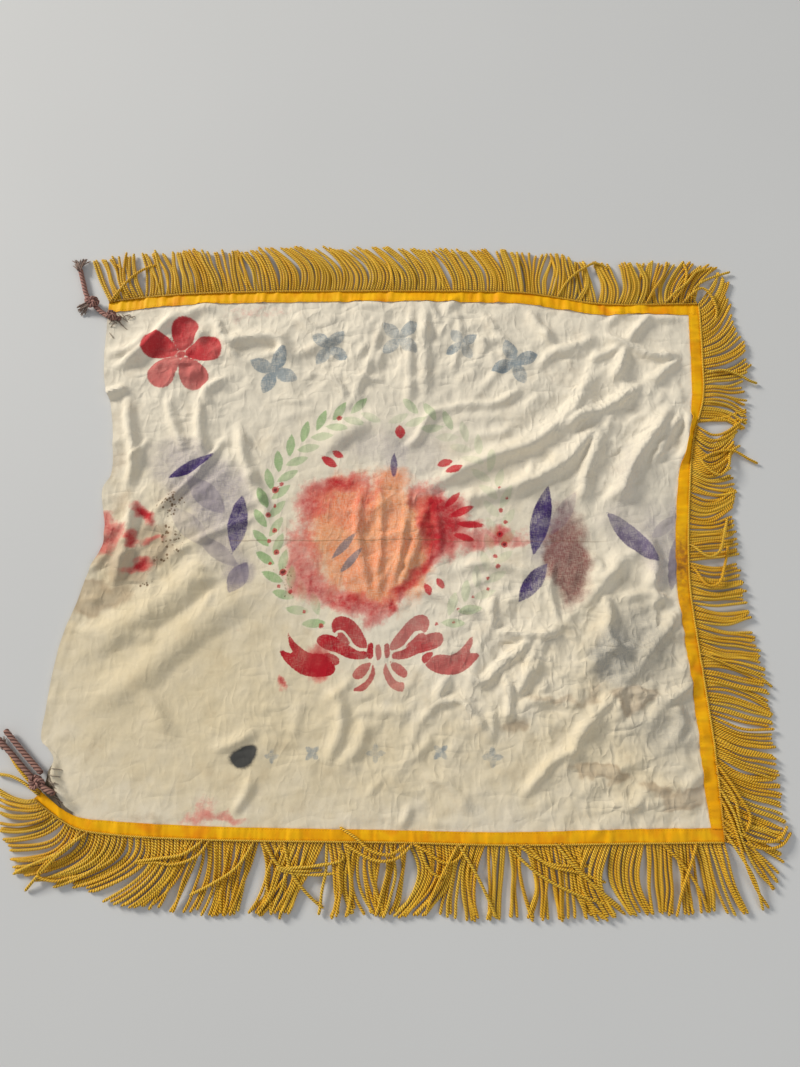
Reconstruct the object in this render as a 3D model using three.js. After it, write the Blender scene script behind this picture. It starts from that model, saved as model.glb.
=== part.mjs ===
// A fringed cotton banner laid open on a flat surface, face down, with its pressed folds.
// X runs along the top edge, Y from the bottom edge to the top edge, Z up, in millimetres.
import * as THREE from "three";

// Driving dimensions
const CLOTH = 1.2; // sheet thickness of the panel
const RIBBON = 1.0; // thickness of the ribbon tape
const STRAND = 3.0; // thickness of the fringe
const TIE = 6.0; // diameter of the cord ties
const GAP = 0.3; // clearance between neighbouring pieces
const HEADING = 4; // width of the bar that the fringe strands hang from
const HEADING_GAP = 1.4; // clearance between the cloth's edge and that bar, which rounds bends
const COLUMNS = 36; // cells across the panel, between its side edges
const ROWS = 32; // cells up the panel, between its ribbon tapes
const TOOTH_STEPS = 3; // bends along one tooth of the fringe
const EDGE_LIFT = 0.35; // share of a fold's height left at the weighted outer edge
const TOOTH_FILL = 0.86; // share of its pitch that a tooth takes up
const TIE_SIDES = 8;
const TIE_STEP = 10; // length of one step along a tie
const CENTRE = [0.9, 1.5]; // moves the drawing so that its box stands centred on the origin

// Outline: hand-set points along each edge. The inner lines are where cloth meets ribbon.
const TOP_INNER = [
  [-354, 292], [-293, 300], [-196, 305.5], [0, 307],
  [153, 304], [195, 297.5], [244, 289.5], [351, 290],
];
const TOP_OUTER = [
  [-355, 306], [-294, 314], [-196, 319], [0, 320.5],
  [153, 318], [196, 311], [244, 303], [351, 303.5],
];
const BOTTOM_INNER = [
  [-376, -262], [-356, -276], [-334, -287], [-300, -291],
  [-208, -296], [0, -300], [114, -302], [229, -299], [323, -298],
];
const BOTTOM_OUTER = [
  [-382, -268], [-361, -283], [-336, -297], [-300, -303],
  [-208, -308], [0, -311], [114, -313.5], [229, -312], [323, -311],
];
const RIGHT_INNER = [
  [323, -298], [319, -250], [318, -199], [312, -103], [309, -48],
  [311, -2], [322, 87], [334, 130], [345, 180], [348, 231], [351, 290],
];
const RIGHT_OUTER = [
  [335, -298], [334, -250], [332, -199], [325, -103], [322, -48],
  [324, -2], [334, 87], [341, 130], [357, 180], [361, 231], [363, 290],
];
const LEFT_EDGE = [
  [-376, -262], [-370, -246], [-366, -230], [-372, -219], [-381, -210],
  [-380, -178], [-372, -108], [-357, -59], [-346, -23], [-336, 0],
  [-334, 21], [-341, 69], [-333, 87], [-341, 173], [-350, 199], [-354, 244], [-354, 292],
];
const BOTTOM_CORNER = [335, -311];
const TOP_CORNER = [363, 303.5];

// Main folds: [height, half width, points along the crest]
const FOLDS = [
  [8, 18, [[14, 312], [12, 240], [10, 165]]],
  [9, 20, [[45, 170], [28, 148], [10, 120], [-30, 150], [-60, 140], [-95, 110]]],
  [12, 22, [[15, 60], [60, 85], [110, 108], [150, 122], [190, 150], [240, 212]]],
  [13, 22, [[60, 55], [100, 62], [150, 78], [190, 100], [240, 155]]],
  [12, 22, [[170, 130], [205, 152], [250, 172], [290, 200]]],
  [14, 24, [[245, 40], [265, 90], [290, 130], [325, 178]]],
  [11, 20, [[200, 50], [215, 90], [235, 145]]],
  [9, 18, [[338, 165], [334, 130], [326, 100]]],
  [13, 26, [[235, 205], [270, 248], [300, 236], [335, 236]]],
  [9, 22, [[155, 292], [185, 245], [235, 262]]],
  [10, 22, [[-346, 234], [-320, 244], [-296, 268], [-262, 292]]],
  [10, 18, [[-350, 180], [-323, 190], [-318, 150], [-308, 110], [-312, 60]]],
  [9, 20, [[-275, 182], [-262, 140], [-245, 108]]],
  [10, 20, [[-235, 186], [-231, 130], [-222, 104], [-250, 70], [-285, 35]]],
  [12, 24, [[-215, 245], [-190, 256], [-150, 258], [-132, 232]]],
  [9, 22, [[-190, 140], [-178, 100], [-165, 60]]],
  [7, 20, [[-265, -10], [-200, 22], [-150, 40]]],
  [7, 30, [[-350, -112], [-300, -85], [-240, -45], [-200, -5]]],
  [6, 30, [[-345, -172], [-290, -150], [-250, -112], [-200, -72], [-150, -45]]],
  [9, 14, [[-366, -232], [-360, -250], [-348, -270], [-332, -284]]],
  [9, 24, [[-14, 82], [-13, 20], [-20, -68]]],
  [9, 20, [[10, 82], [14, 40], [-4, -40]]],
  [8, 22, [[10, -45], [50, -58], [100, -88], [175, -96]]],
  [8, 20, [[55, -24], [100, -18], [150, -32]]],
  [10, 24, [[152, -112], [135, -142], [118, -175]]],
  [12, 26, [[205, -62], [222, -40], [240, -18]]],
  [10, 22, [[226, -50], [232, -90], [244, -130]]],
  [14, 26, [[185, -214], [208, -182], [236, -158], [290, -166]]],
  [7, 24, [[128, -268], [150, -244], [200, -216]]],
  [8, 22, [[255, -128], [285, -100], [310, -62]]],
];

// Fringe: [distance along the edge 0..1, reach outwards, lean along the edge]
const TOP_FRINGE = [
  [0, 67, -16], [0.08, 63, -10], [0.16, 62, -8], [0.2, 62, -22], [0.33, 60, -24],
  [0.46, 60, -19], [0.6, 60, -18], [0.65, 60, -24], [0.72, 59, -18], [0.74, 60, -4],
  [0.89, 60, -5], [0.93, 62, 8], [1, 60, 22],
];
const RIGHT_FRINGE = [
  [0, 46, -48], [0.03, 60, -30], [0.08, 64, -18], [0.15, 66, -26], [0.22, 68, -29],
  [0.25, 70, 2], [0.34, 66, 8], [0.46, 60, 10], [0.52, 58, 6], [0.56, 48, 9],
  [0.62, 55, 7], [0.68, 64, 0], [0.74, 60, 6], [0.8, 62, 12], [0.86, 62, 22],
  [0.9, 58, 40], [0.96, 50, 46], [1, 50, 44],
];
const BOTTOM_FRINGE = [
  [0, 20, -42], [0.05, 44, -38], [0.1, 66, -30], [0.17, 70, -14], [0.3, 70, -8],
  [0.38, 70, 4], [0.46, 70, 2], [0.52, 70, -14], [0.62, 70, -14], [0.75, 70, 2],
  [0.9, 68, 0], [0.96, 68, 8], [1, 68, 14],
];
const TOP_TEETH = 28;
const RIGHT_TEETH = 24;
const BOTTOM_TEETH = 28;

// Ties: routes of the cord centres, from the sewn end to the free end
const TIE_TOP = [
  [-338, 283, 5.2], [-350, 285, 5.2], [-362, 292, 4.6], [-372, 302, 3.6],
  [-382, 314, 3.4], [-388, 331, 3.4], [-394, 351, 3.4],
];
const TIE_BOTTOM = [
  [-358, -263, 12.6], [-369, -258, 10], [-382, -250, 7],
  [-396, -237, 6.6], [-410, -223, 6.6], [-427, -207, 6.6],
];
const TIE_BOTTOM_SECOND = [
  [-375, -243, 8], [-388, -231, 6.6], [-402, -217, 6.6], [-419, -199, 6.6],
];

// ---- curves and heights ----

function edgeCurve(points) {
  const knots = points.map(([x, y]) => new THREE.Vector3(x, y, 0));
  const curve = new THREE.CatmullRomCurve3(knots, false, "centripetal");
  curve.arcLengthDivisions = 600;
  return curve;
}

function smoothFade(t) {
  const s = Math.min(1, Math.max(0, t));
  return s * s * (3 - 2 * s);
}

// Distance from (x, y) to a crest line, and how far along that line the nearest point is.
function nearestOnCrest(x, y, crest) {
  let best = { away: Infinity, along: 0 };
  crest.slice(1).forEach(([bx, by], i) => {
    const [ax, ay] = crest[i];
    const length2 = (bx - ax) ** 2 + (by - ay) ** 2;
    const t = Math.min(1, Math.max(0, ((x - ax) * (bx - ax) + (y - ay) * (by - ay)) / length2));
    const away = Math.hypot(x - ax - t * (bx - ax), y - ay - t * (by - ay));
    if (away < best.away) best = { away, along: (i + t) / (crest.length - 1) };
  });
  return best;
}

// Height of the cloth's underside: the tallest fold that reaches (x, y), or 0 where it lies flat.
function lie(x, y) {
  const heights = FOLDS.map(([height, reach, crest]) => {
    const { away, along } = nearestOnCrest(x, y, crest);
    const across = Math.max(0, 1 - (away / reach) ** 2) ** 2;
    const ends = 0.25 + 0.75 * smoothFade(4 * along) * smoothFade(4 * (1 - along));
    return height * across * ends;
  });
  return Math.max(0, ...heights);
}

// Value of a [position, a, b] list at position s, between its neighbours.
function fringeAt(list, s) {
  const next = Math.max(1, list.findIndex(([at]) => at >= s));
  const [s0, reach0, lean0] = list[next - 1];
  const [s1, reach1, lean1] = list[next];
  const t = (s - s0) / (s1 - s0);
  return { reach: reach0 + t * (reach1 - reach0), lean: lean0 + t * (lean1 - lean0) };
}

// ---- solids ----

// Closed solid from a quilt of four-sided cells. Each point is [x, y, underside z];
// the top is the same quilt raised by the thickness, and loose edges get side walls.
function quilt(points, cells, thickness) {
  const count = points.length;
  const positions = [
    ...points.flatMap(([x, y, z]) => [x, y, z]),
    ...points.flatMap(([x, y, z]) => [x, y, z + thickness]),
  ];
  const directed = new Set();
  const index = [];
  for (const [a, b, c, d] of cells) {
    index.push(a + count, b + count, c + count, a + count, c + count, d + count);
    index.push(c, b, a, d, c, a);
    for (const [p, q] of [[a, b], [b, c], [c, d], [d, a]]) directed.add(`${p},${q}`);
  }
  for (const key of directed) {
    const [p, q] = key.split(",").map(Number);
    if (directed.has(`${q},${p}`)) continue;
    index.push(p, q, q + count, p, q + count, p + count);
  }
  const geometry = new THREE.BufferGeometry();
  geometry.setAttribute("position", new THREE.Float32BufferAttribute(positions, 3));
  geometry.setIndex(index);
  geometry.computeVertexNormals();
  return geometry;
}

function gridCells(columns, rows) {
  const cells = [];
  for (let j = 0; j < rows; j++) {
    for (let i = 0; i < columns; i++) {
      const a = j * (columns + 1) + i;
      cells.push([a, a + 1, a + columns + 2, a + columns + 1]);
    }
  }
  return cells;
}

const edges = {
  topInner: edgeCurve(TOP_INNER),
  topOuter: edgeCurve(TOP_OUTER),
  bottomInner: edgeCurve(BOTTOM_INNER),
  bottomOuter: edgeCurve(BOTTOM_OUTER),
  rightInner: edgeCurve(RIGHT_INNER),
  rightOuter: edgeCurve(RIGHT_OUTER),
  left: edgeCurve(LEFT_EDGE),
};

// Point inside the ribbon tapes, blended from the four inner edges.
function insidePoint(u, v) {
  const across = edges.left.getPointAt(v).lerp(edges.rightInner.getPointAt(v), u);
  const upward = edges.bottomInner.getPointAt(u).lerp(edges.topInner.getPointAt(u), v);
  const low = edges.bottomInner.getPointAt(0).lerp(edges.bottomInner.getPointAt(1), u);
  const high = edges.topInner.getPointAt(0).lerp(edges.topInner.getPointAt(1), u);
  return across.add(upward).sub(low.lerp(high, v));
}

// Point of the whole panel: column COLUMNS + 1 is the right outer edge, row 0 the bottom
// outer edge and row ROWS + 2 the top outer edge.
function panelPoint(column, row) {
  const u = Math.min(column, COLUMNS) / COLUMNS;
  const v = Math.min(1, Math.max(0, (row - 1) / ROWS));
  const outside = column > COLUMNS || row < 1 || row > ROWS + 1;
  let place = insidePoint(u, v);
  if (column > COLUMNS) place = edges.rightOuter.getPointAt(v);
  if (row < 1) place = edges.bottomOuter.getPointAt(u);
  if (row > ROWS + 1) place = edges.topOuter.getPointAt(u);
  if (column > COLUMNS && row < 1) place = new THREE.Vector3(...BOTTOM_CORNER, 0);
  if (column > COLUMNS && row > ROWS + 1) place = new THREE.Vector3(...TOP_CORNER, 0);
  const height = lie(place.x, place.y) * (outside ? EDGE_LIFT : 1);
  return [place.x, place.y, height];
}

function panelStrip(firstColumn, lastColumn, firstRow, lastRow) {
  const points = [];
  for (let j = firstRow; j <= lastRow; j++) {
    for (let i = firstColumn; i <= lastColumn; i++) points.push(panelPoint(i, j));
  }
  return points;
}

function panel() {
  const points = panelStrip(0, COLUMNS + 1, 0, ROWS + 2);
  return quilt(points, gridCells(COLUMNS + 1, ROWS + 2), CLOTH);
}

// Ribbon sewn over the border: the panel's own border cells, lifted clear of the cloth.
function ribbon(firstColumn, lastColumn, firstRow, lastRow) {
  const points = panelStrip(firstColumn, lastColumn, firstRow, lastRow);
  const lifted = points.map(([x, y, z]) => [x, y, z + CLOTH + GAP]);
  return quilt(lifted, gridCells(lastColumn - firstColumn, lastRow - firstRow), RIBBON);
}

// The side ribbon stops short of the top and bottom ribbons by one gap.
function sideRibbon() {
  const points = panelStrip(COLUMNS, COLUMNS + 1, 1, ROWS + 1);
  const last = points.length - 2;
  const lifted = points.map(([x, y, z], k) => {
    const trim = (k < 2 ? GAP : 0) - (k >= last ? GAP : 0);
    return [x, y + trim, z + CLOTH + GAP];
  });
  return quilt(lifted, gridCells(1, ROWS), RIBBON);
}

// One comb of bent teeth. "line" gives the outer edge, "outwards" is +1 when the outside
// lies to the left of the line's direction, and "list" sets reach and lean along it.
function comb(line, outwards, list, teeth) {
  const points = [];
  const cells = [];
  const rootHeight = (s) => {
    const place = line.getPointAt(s);
    return EDGE_LIFT * lie(place.x, place.y);
  };
  const at = (s, t) => {
    const place = line.getPointAt(s);
    const along = line.getTangentAt(s);
    const out = new THREE.Vector3(-along.y, along.x, 0).multiplyScalar(outwards);
    const { reach, lean } = fringeAt(list, s);
    const far = HEADING_GAP + HEADING * Math.min(1, t + 1) + reach * Math.max(0, t);
    place.addScaledVector(out, far);
    place.addScaledVector(along, lean * (0.4 * Math.max(0, t) + 0.6 * Math.max(0, t) ** 2));
    const height = rootHeight(s) * Math.max(0, 1 - 2 * Math.max(0, t));
    return [place.x, place.y, height];
  };
  const add = (s, t) => points.push(at(s, t)) - 1;
  const cell = (a, b, c, d) => cells.push(outwards > 0 ? [a, b, c, d] : [d, c, b, a]);
  let before = null;
  for (let k = 0; k < teeth; k++) {
    const s0 = (k + (1 - TOOTH_FILL) / 2) / teeth;
    const s1 = (k + (1 + TOOTH_FILL) / 2) / teeth;
    const inner = [add(s0, -1), add(s1, -1)];
    let row = [add(s0, 0), add(s1, 0)];
    if (before) cell(before.inner[1], inner[0], row[0], before.row[1]);
    cell(inner[0], inner[1], row[1], row[0]);
    before = { inner, row };
    for (let step = 1; step <= TOOTH_STEPS; step++) {
      const t = step / TOOTH_STEPS;
      const next = [add(s0, t), add(s1, t)];
      cell(row[0], row[1], next[1], next[0]);
      row = next;
    }
  }
  return quilt(points, cells, STRAND);
}

// Outer edges as whole lines, so that the fringe runs from corner to corner.
function wholeEdge(list, corner) {
  return edgeCurve([...list, corner]);
}

function sideEdge() {
  return edgeCurve([BOTTOM_CORNER, ...RIGHT_OUTER.slice(1), TOP_CORNER]);
}

function tie(route) {
  const knots = route.map((point) => new THREE.Vector3(...point));
  const path = new THREE.CatmullRomCurve3(knots, false, "centripetal");
  const section = new THREE.Shape();
  for (let k = 0; k < TIE_SIDES; k++) {
    const angle = (2 * Math.PI * k) / TIE_SIDES;
    const [x, y] = [(TIE / 2) * Math.cos(angle), (TIE / 2) * Math.sin(angle)];
    if (k === 0) section.moveTo(x, y);
    else section.lineTo(x, y);
  }
  const steps = Math.ceil(path.getLength() / TIE_STEP);
  return new THREE.ExtrudeGeometry(section, { extrudePath: path, steps, bevelEnabled: false });
}

// ---- materials and scene graph ----

function clothLike(color, roughness) {
  return new THREE.MeshStandardMaterial({ color, roughness, metalness: 0 });
}

const finishes = {
  cotton: clothLike(0xd8ccb0, 0.9),
  ribbon: clothLike(0xe8a818, 0.55),
  fringe: clothLike(0xcf9f38, 0.6),
  cord: clothLike(0x90665c, 0.85),
};

const group = new THREE.Group();
group.position.set(...CENTRE, 0);

function addPiece(name, geometry, finish) {
  const mesh = new THREE.Mesh(geometry, finish.clone());
  mesh.name = name;
  group.add(mesh);
}

addPiece("panel", panel(), finishes.cotton);
addPiece("tape_top", ribbon(0, COLUMNS + 1, ROWS + 1, ROWS + 2), finishes.ribbon);
addPiece("tape_bottom", ribbon(0, COLUMNS + 1, 0, 1), finishes.ribbon);
addPiece("tape_right", sideRibbon(), finishes.ribbon);
addPiece("fringe_top", comb(wholeEdge(TOP_OUTER, TOP_CORNER), 1, TOP_FRINGE, TOP_TEETH),
  finishes.fringe);
addPiece("fringe_right", comb(sideEdge(), -1, RIGHT_FRINGE, RIGHT_TEETH), finishes.fringe);
addPiece("fringe_bottom",
  comb(wholeEdge(BOTTOM_OUTER, BOTTOM_CORNER), -1, BOTTOM_FRINGE, BOTTOM_TEETH), finishes.fringe);
addPiece("tie_top", tie(TIE_TOP), finishes.cord);
addPiece("tie_bottom", tie(TIE_BOTTOM), finishes.cord);
addPiece("tie_bottom_second", tie(TIE_BOTTOM_SECOND), finishes.cord);

export default group;
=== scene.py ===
"""A fringed cotton banner laid open on a pale floor, built round its fixed frame.

Lengths in the tables are millimetres in the banner's drawing plane: X along the top edge,
Y from the bottom edge to the top edge. Meshes are made in metres.
"""
import math

import bpy
import numpy as np
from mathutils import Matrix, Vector
from bpy.props import FloatProperty, FloatVectorProperty, IntProperty, PointerProperty


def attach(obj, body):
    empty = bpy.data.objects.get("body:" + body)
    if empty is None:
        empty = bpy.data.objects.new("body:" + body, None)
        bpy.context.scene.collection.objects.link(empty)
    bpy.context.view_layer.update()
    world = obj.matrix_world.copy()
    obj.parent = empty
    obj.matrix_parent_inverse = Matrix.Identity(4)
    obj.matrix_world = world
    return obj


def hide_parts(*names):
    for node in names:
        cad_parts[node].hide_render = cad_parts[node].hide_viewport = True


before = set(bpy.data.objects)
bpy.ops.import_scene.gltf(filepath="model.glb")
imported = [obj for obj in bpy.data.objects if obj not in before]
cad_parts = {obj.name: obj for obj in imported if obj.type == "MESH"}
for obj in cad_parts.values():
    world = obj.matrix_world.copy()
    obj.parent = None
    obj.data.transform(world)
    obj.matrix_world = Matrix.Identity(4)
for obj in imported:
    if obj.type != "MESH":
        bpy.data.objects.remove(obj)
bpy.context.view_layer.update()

bl_info = {
    "name": "Fringed banner",
    "version": (1, 0, 0),
    "blender": (4, 5, 0),
    "location": "View3D > Sidebar > Banner",
    "description": "Builds a creased, stained cotton banner with ribbon, cord fringe and ties",
    "category": "Add Mesh",
}

MM = 0.001
CENTRE = np.array([0.9, 1.5])  # place of the drawing's zero in the frame, in millimetres
EDGE_LIFT = 0.35  # share of a fold's height left at the weighted outer edge
BORDER_STEPS = 4  # cells across the ribbon's width

# ---------------------------------------------------------------- outline

TOP_INNER = [
    (-354, 292), (-293, 300), (-196, 305.5), (0, 307),
    (153, 304), (195, 297.5), (244, 289.5), (351, 290),
]
TOP_OUTER = [
    (-355, 306), (-294, 314), (-196, 319), (0, 320.5),
    (153, 318), (196, 311), (244, 303), (351, 303.5),
]
BOTTOM_INNER = [
    (-376, -262), (-356, -276), (-334, -287), (-300, -291),
    (-208, -296), (0, -300), (114, -302), (229, -299), (323, -298),
]
BOTTOM_OUTER = [
    (-382, -268), (-361, -283), (-336, -297), (-300, -303),
    (-208, -308), (0, -311), (114, -313.5), (229, -312), (323, -311),
]
RIGHT_INNER = [
    (323, -298), (319, -250), (318, -199), (312, -103), (309, -48),
    (311, -2), (322, 87), (334, 130), (345, 180), (348, 231), (351, 290),
]
RIGHT_OUTER = [
    (335, -298), (334, -250), (332, -199), (325, -103), (322, -48),
    (324, -2), (334, 87), (341, 130), (357, 180), (361, 231), (363, 290),
]
LEFT_EDGE = [
    (-376, -262), (-370, -246), (-366, -230), (-372, -219), (-381, -210),
    (-380, -178), (-372, -108), (-357, -59), (-346, -23), (-336, 0),
    (-334, 21), (-341, 69), (-333, 87), (-341, 173), (-350, 199), (-354, 244), (-354, 292),
]
BOTTOM_CORNER = (335, -311)
TOP_CORNER = (363, 303.5)

# ---------------------------------------------------------------- folds
# (height, reach to the left of the crest, reach to its right, sharpness 0..1, crest points)
FOLDS = [
    (7, 16, 9, 0.8, [(13, 312), (11, 240), (10, 165)]),
    (6, 9, 16, 0.5, [(31, 312), (30, 240), (32, 175)]),
    (8, 12, 10, 0.9, [(60, 168), (38, 162), (28, 148), (18, 128), (0, 117)]),
    (6, 16, 24, 0.2, [(0, 118), (-30, 150), (-60, 142), (-95, 112)]),
    (7, 10, 12, 0.9, [(44, 166), (78, 172), (112, 174), (152, 197)]),
    (12, 22, 15, 0.7, [(15, 60), (60, 85), (110, 108), (150, 122), (188, 150), (240, 214)]),
    (12, 20, 14, 0.7, [(60, 55), (100, 62), (150, 78), (190, 100), (216, 130), (242, 156)]),
    (12, 18, 14, 0.8, [(170, 130), (205, 152), (250, 172), (290, 200)]),
    (14, 22, 16, 0.6, [(245, 38), (262, 88), (290, 130), (328, 180)]),
    (8, 14, 12, 0.7, [(288, 92), (308, 128), (336, 168)]),
    (10, 12, 20, 0.6, [(203, 45), (214, 90), (236, 148)]),
    (8, 10, 12, 0.8, [(125, 55), (150, 88), (152, 104)]),
    (9, 12, 10, 0.5, [(338, 168), (333, 130), (324, 98)]),
    (12, 16, 12, 0.9, [(235, 266), (270, 248), (300, 234), (342, 236)]),
    (12, 14, 16, 0.9, [(270, 249), (262, 222), (250, 200)]),
    (9, 12, 12, 0.9, [(270, 249), (284, 268), (306, 292)]),
    (7, 10, 10, 0.9, [(222, 226), (244, 236), (268, 250)]),
    (9, 16, 12, 0.8, [(153, 296), (170, 268), (188, 244)]),
    (8, 12, 14, 0.7, [(160, 214), (184, 240), (216, 249), (240, 262)]),
    (8, 12, 12, 0.8, [(292, 216), (300, 204), (312, 214), (338, 232)]),
    (6, 10, 12, 0.8, [(250, 306), (272, 290), (306, 284), (344, 284)]),
    (9, 14, 12, 0.7, [(-350, 216), (-326, 226), (-303, 250), (-278, 284), (-262, 298)]),
    (8, 14, 10, 0.7, [(-352, 240), (-336, 238), (-318, 246), (-300, 270)]),
    (10, 14, 9, 0.8, [(-352, 178), (-340, 187), (-325, 190), (-322, 186)]),
    (9, 14, 10, 0.6, [(-322, 190), (-318, 150), (-309, 110), (-313, 62)]),
    (9, 12, 14, 0.5, [(-313, 64), (-305, 46), (-309, 0), (-320, -50)]),
    (7, 14, 10, 0.7, [(-276, 184), (-263, 142), (-246, 108)]),
    (8, 12, 12, 0.7, [(-236, 188), (-233, 130), (-224, 106)]),
    (8, 8, 8, 1.0, [(-198, 142), (-220, 106), (-250, 70), (-287, 34)]),
    (11, 22, 10, 0.7, [(-218, 240), (-196, 252), (-170, 257), (-146, 254), (-138, 236), (-122, 222)]),
    (8, 10, 12, 0.8, [(-224, 288), (-214, 262), (-200, 240), (-190, 226)]),
    (7, 12, 10, 0.6, [(-205, 206), (-232, 188), (-222, 168)]),
    (8, 16, 10, 0.6, [(-190, 144), (-180, 102), (-166, 62)]),
    (6, 9, 10, 0.9, [(-268, -12), (-202, 22), (-152, 40)]),
    (6, 10, 10, 0.8, [(-118, 216), (-90, 208), (-72, 196), (-60, 176)]),
    (5, 8, 8, 0.9, [(-66, 160), (-40, 214), (-18, 292)]),
    (6, 12, 10, 0.6, [(-130, 292), (-96, 262), (-66, 246)]),
    (6, 12, 10, 0.6, [(-292, 300), (-262, 286), (-240, 298), (-214, 292)]),
    (5, 9, 9, 0.8, [(60, 205), (72, 262), (68, 300)]),
    (5, 10, 9, 0.8, [(95, 300), (118, 262), (150, 228)]),
    (7, 26, 26, 0.15, [(-352, -112), (-300, -85), (-240, -45), (-200, -5)]),
    (6, 30, 26, 0.15, [(-345, -172), (-290, -150), (-250, -112), (-200, -72), (-150, -45)]),
    (5, 10, 14, 0.6, [(-246, -92), (-222, -78), (-206, -44)]),
    (4, 12, 18, 0.3, [(-300, -148), (-268, -168), (-244, -204)]),
    (4, 14, 14, 0.3, [(-330, -110), (-290, -96), (-262, -110)]),
    (8, 7, 10, 0.6, [(-366, -228), (-364, -246), (-354, -264), (-336, -284)]),
    (5, 14, 12, 0.4, [(-78, -150), (-62, -182), (-70, -216), (-78, -238)]),
    (4, 12, 12, 0.4, [(-72, -242), (-44, -216), (-36, -180)]),
    (4, 10, 10, 0.6, [(-176, -286), (-160, -262), (-156, -244)]),
    (4, 12, 10, 0.6, [(-58, -182), (-20, -180), (18, -182)]),
    (4.5, 9, 6, 0.5, [(-24, 84), (-22, 20), (-26, -62)]),
    (5, 6, 9, 0.6, [(12, 78), (8, 40), (2, 0), (-12, -60)]),
    (5, 8, 10, 0.7, [(36, 58), (24, 30), (14, -10), (-6, -58)]),
    (5, 9, 9, 0.5, [(-40, 78), (-48, 40), (-46, 0), (-32, -60)]),
    (8, 16, 12, 0.8, [(10, -44), (48, -57), (92, -80)]),
    (8, 12, 14, 0.6, [(56, -26), (96, -18), (130, -24), (158, -36)]),
    (9, 8, 14, 0.9, [(98, -92), (132, -97), (178, -94)]),
    (7, 10, 10, 0.8, [(106, -50), (100, -70), (104, -96)]),
    (6, 8, 8, 0.9, [(176, -10), (166, -44), (176, -92)]),
    (9, 10, 14, 0.9, [(60, -132), (88, -148), (110, -128), (140, -106), (152, -98)]),
    (9, 12, 12, 0.9, [(150, -108), (136, -140), (124, -168)]),
    (7, 10, 10, 0.8, [(108, -130), (118, -160), (112, -196)]),
    (8, 10, 12, 0.8, [(60, -132), (40, -168), (64, -168), (84, -190), (98, -214)]),
    (9, 18, 16, 0.5, [(196, -70), (222, -44), (246, -16), (262, -8)]),
    (10, 12, 14, 0.8, [(222, -46), (230, -70), (226, -96), (244, -128)]),
    (8, 14, 12, 0.6, [(222, -44), (216, -34), (226, -24), (206, -6)]),
    (9, 16, 12, 0.9, [(178, -222), (206, -186), (236, -157)]),
    (8, 10, 14, 0.9, [(236, -157), (262, -160), (292, -166), (322, -140)]),
    (8, 12, 12, 0.7, [(126, -270), (148, -244), (168, -226), (200, -216)]),
    (6, 10, 10, 0.8, [(122, -172), (160, -168), (186, -172), (200, -166)]),
    (7, 12, 12, 0.7, [(262, -126), (284, -100), (312, -64)]),
    (7, 10, 12, 0.7, [(240, -60), (276, -52), (306, -66)]),
    (8, 14, 12, 0.6, [(276, 20), (286, -22), (272, -52)]),
    (7, 12, 12, 0.6, [(292, -168), (300, -190), (288, -214)]),
    (6, 12, 14, 0.5, [(296, -262), (312, -246), (326, -240)]),
    (5, 12, 12, 0.5, [(250, -266), (282, -256), (310, -282)]),
    (5, 12, 12, 0.5, [(20, -240), (50, -256), (78, -286)]),
]

# Where the cloth is crumpled, and how far: (x, y, reach, strength)
CRUMPLED = [
    (230, 160, 170, 1.0), (120, -120, 130, 1.1), (260, -130, 130, 1.3), (-10, 20, 100, 1.0),
    (-260, 230, 110, 0.9), (-80, 240, 130, 0.7), (60, 260, 130, 0.7), (-240, 60, 130, 0.55),
    (230, -260, 120, 0.9), (0, -220, 120, 0.5), (-300, -20, 90, 0.6), (-150, -190, 80, 0.35),
]

# ---------------------------------------------------------------- fringe
# (place along the edge 0..1, reach outwards, lean along the edge, disorder 0..1, bow)
TOP_FRINGE = [
    (0, 62, -18, 0.5, -4), (0.03, 62, -14, 0.7, -2), (0.08, 60, -12, 0.5, 2),
    (0.13, 60, -12, 0.5, 4), (0.17, 61, -22, 0.3, 4), (0.22, 58, -18, 0.5, 3),
    (0.27, 58, -16, 0.4, 4), (0.33, 60, -30, 0.2, 6), (0.4, 60, -28, 0.2, 6),
    (0.46, 60, -22, 0.3, 4), (0.52, 60, -28, 0.3, 4), (0.6, 59, -19, 0.3, 3),
    (0.645, 57, -20, 0.4, 3), (0.712, 56, -16, 0.3, 2), (0.728, 58, -3, 0.6, 0),
    (0.78, 57, -6, 0.7, 0), (0.84, 56, -9, 0.5, 2), (0.9, 57, -3, 0.4, 0),
    (0.925, 58, 8, 0.5, 0), (0.95, 57, 26, 0.6, -3), (1, 50, 32, 0.7, -4),
]
RIGHT_FRINGE = [
    (0, 46, -50, 0.6, 0), (0.02, 60, -36, 0.6, 0), (0.05, 62, -22, 0.4, -6),
    (0.12, 64, -22, 0.3, -10), (0.2, 64, -22, 0.3, -10), (0.25, 67, -26, 0.3, -2),
    (0.28, 66, -22, 0.3, 0), (0.32, 66, -15, 0.5, -2), (0.36, 64, -8, 0.6, -4),
    (0.4, 61, 0, 0.6, -6), (0.45, 58, 8, 0.5, -4), (0.5, 55, 13, 0.4, -3),
    (0.56, 50, 14, 0.3, -4), (0.6, 50, 10, 0.4, -6), (0.63, 55, -2, 0.5, -8),
    (0.66, 48, 12, 0.4, -12), (0.7, 46, 16, 0.5, -14), (0.735, 48, 21, 0.6, -10),
    (0.752, 54, 24, 0.5, -4), (0.762, 55, -9, 0.5, 2), (0.785, 53, -7, 0.4, 2),
    (0.81, 50, -2, 0.4, -3),
    (0.83, 46, 12, 0.4, -6), (0.85, 56, 16, 0.3, -3), (0.875, 54, 20, 0.4, -2),
    (0.9, 42, 34, 0.4, -4), (0.92, 40, 46, 0.3, -2), (0.97, 38, 50, 0.3, -2),
    (1, 34, 46, 0.5, 0),
]
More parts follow.
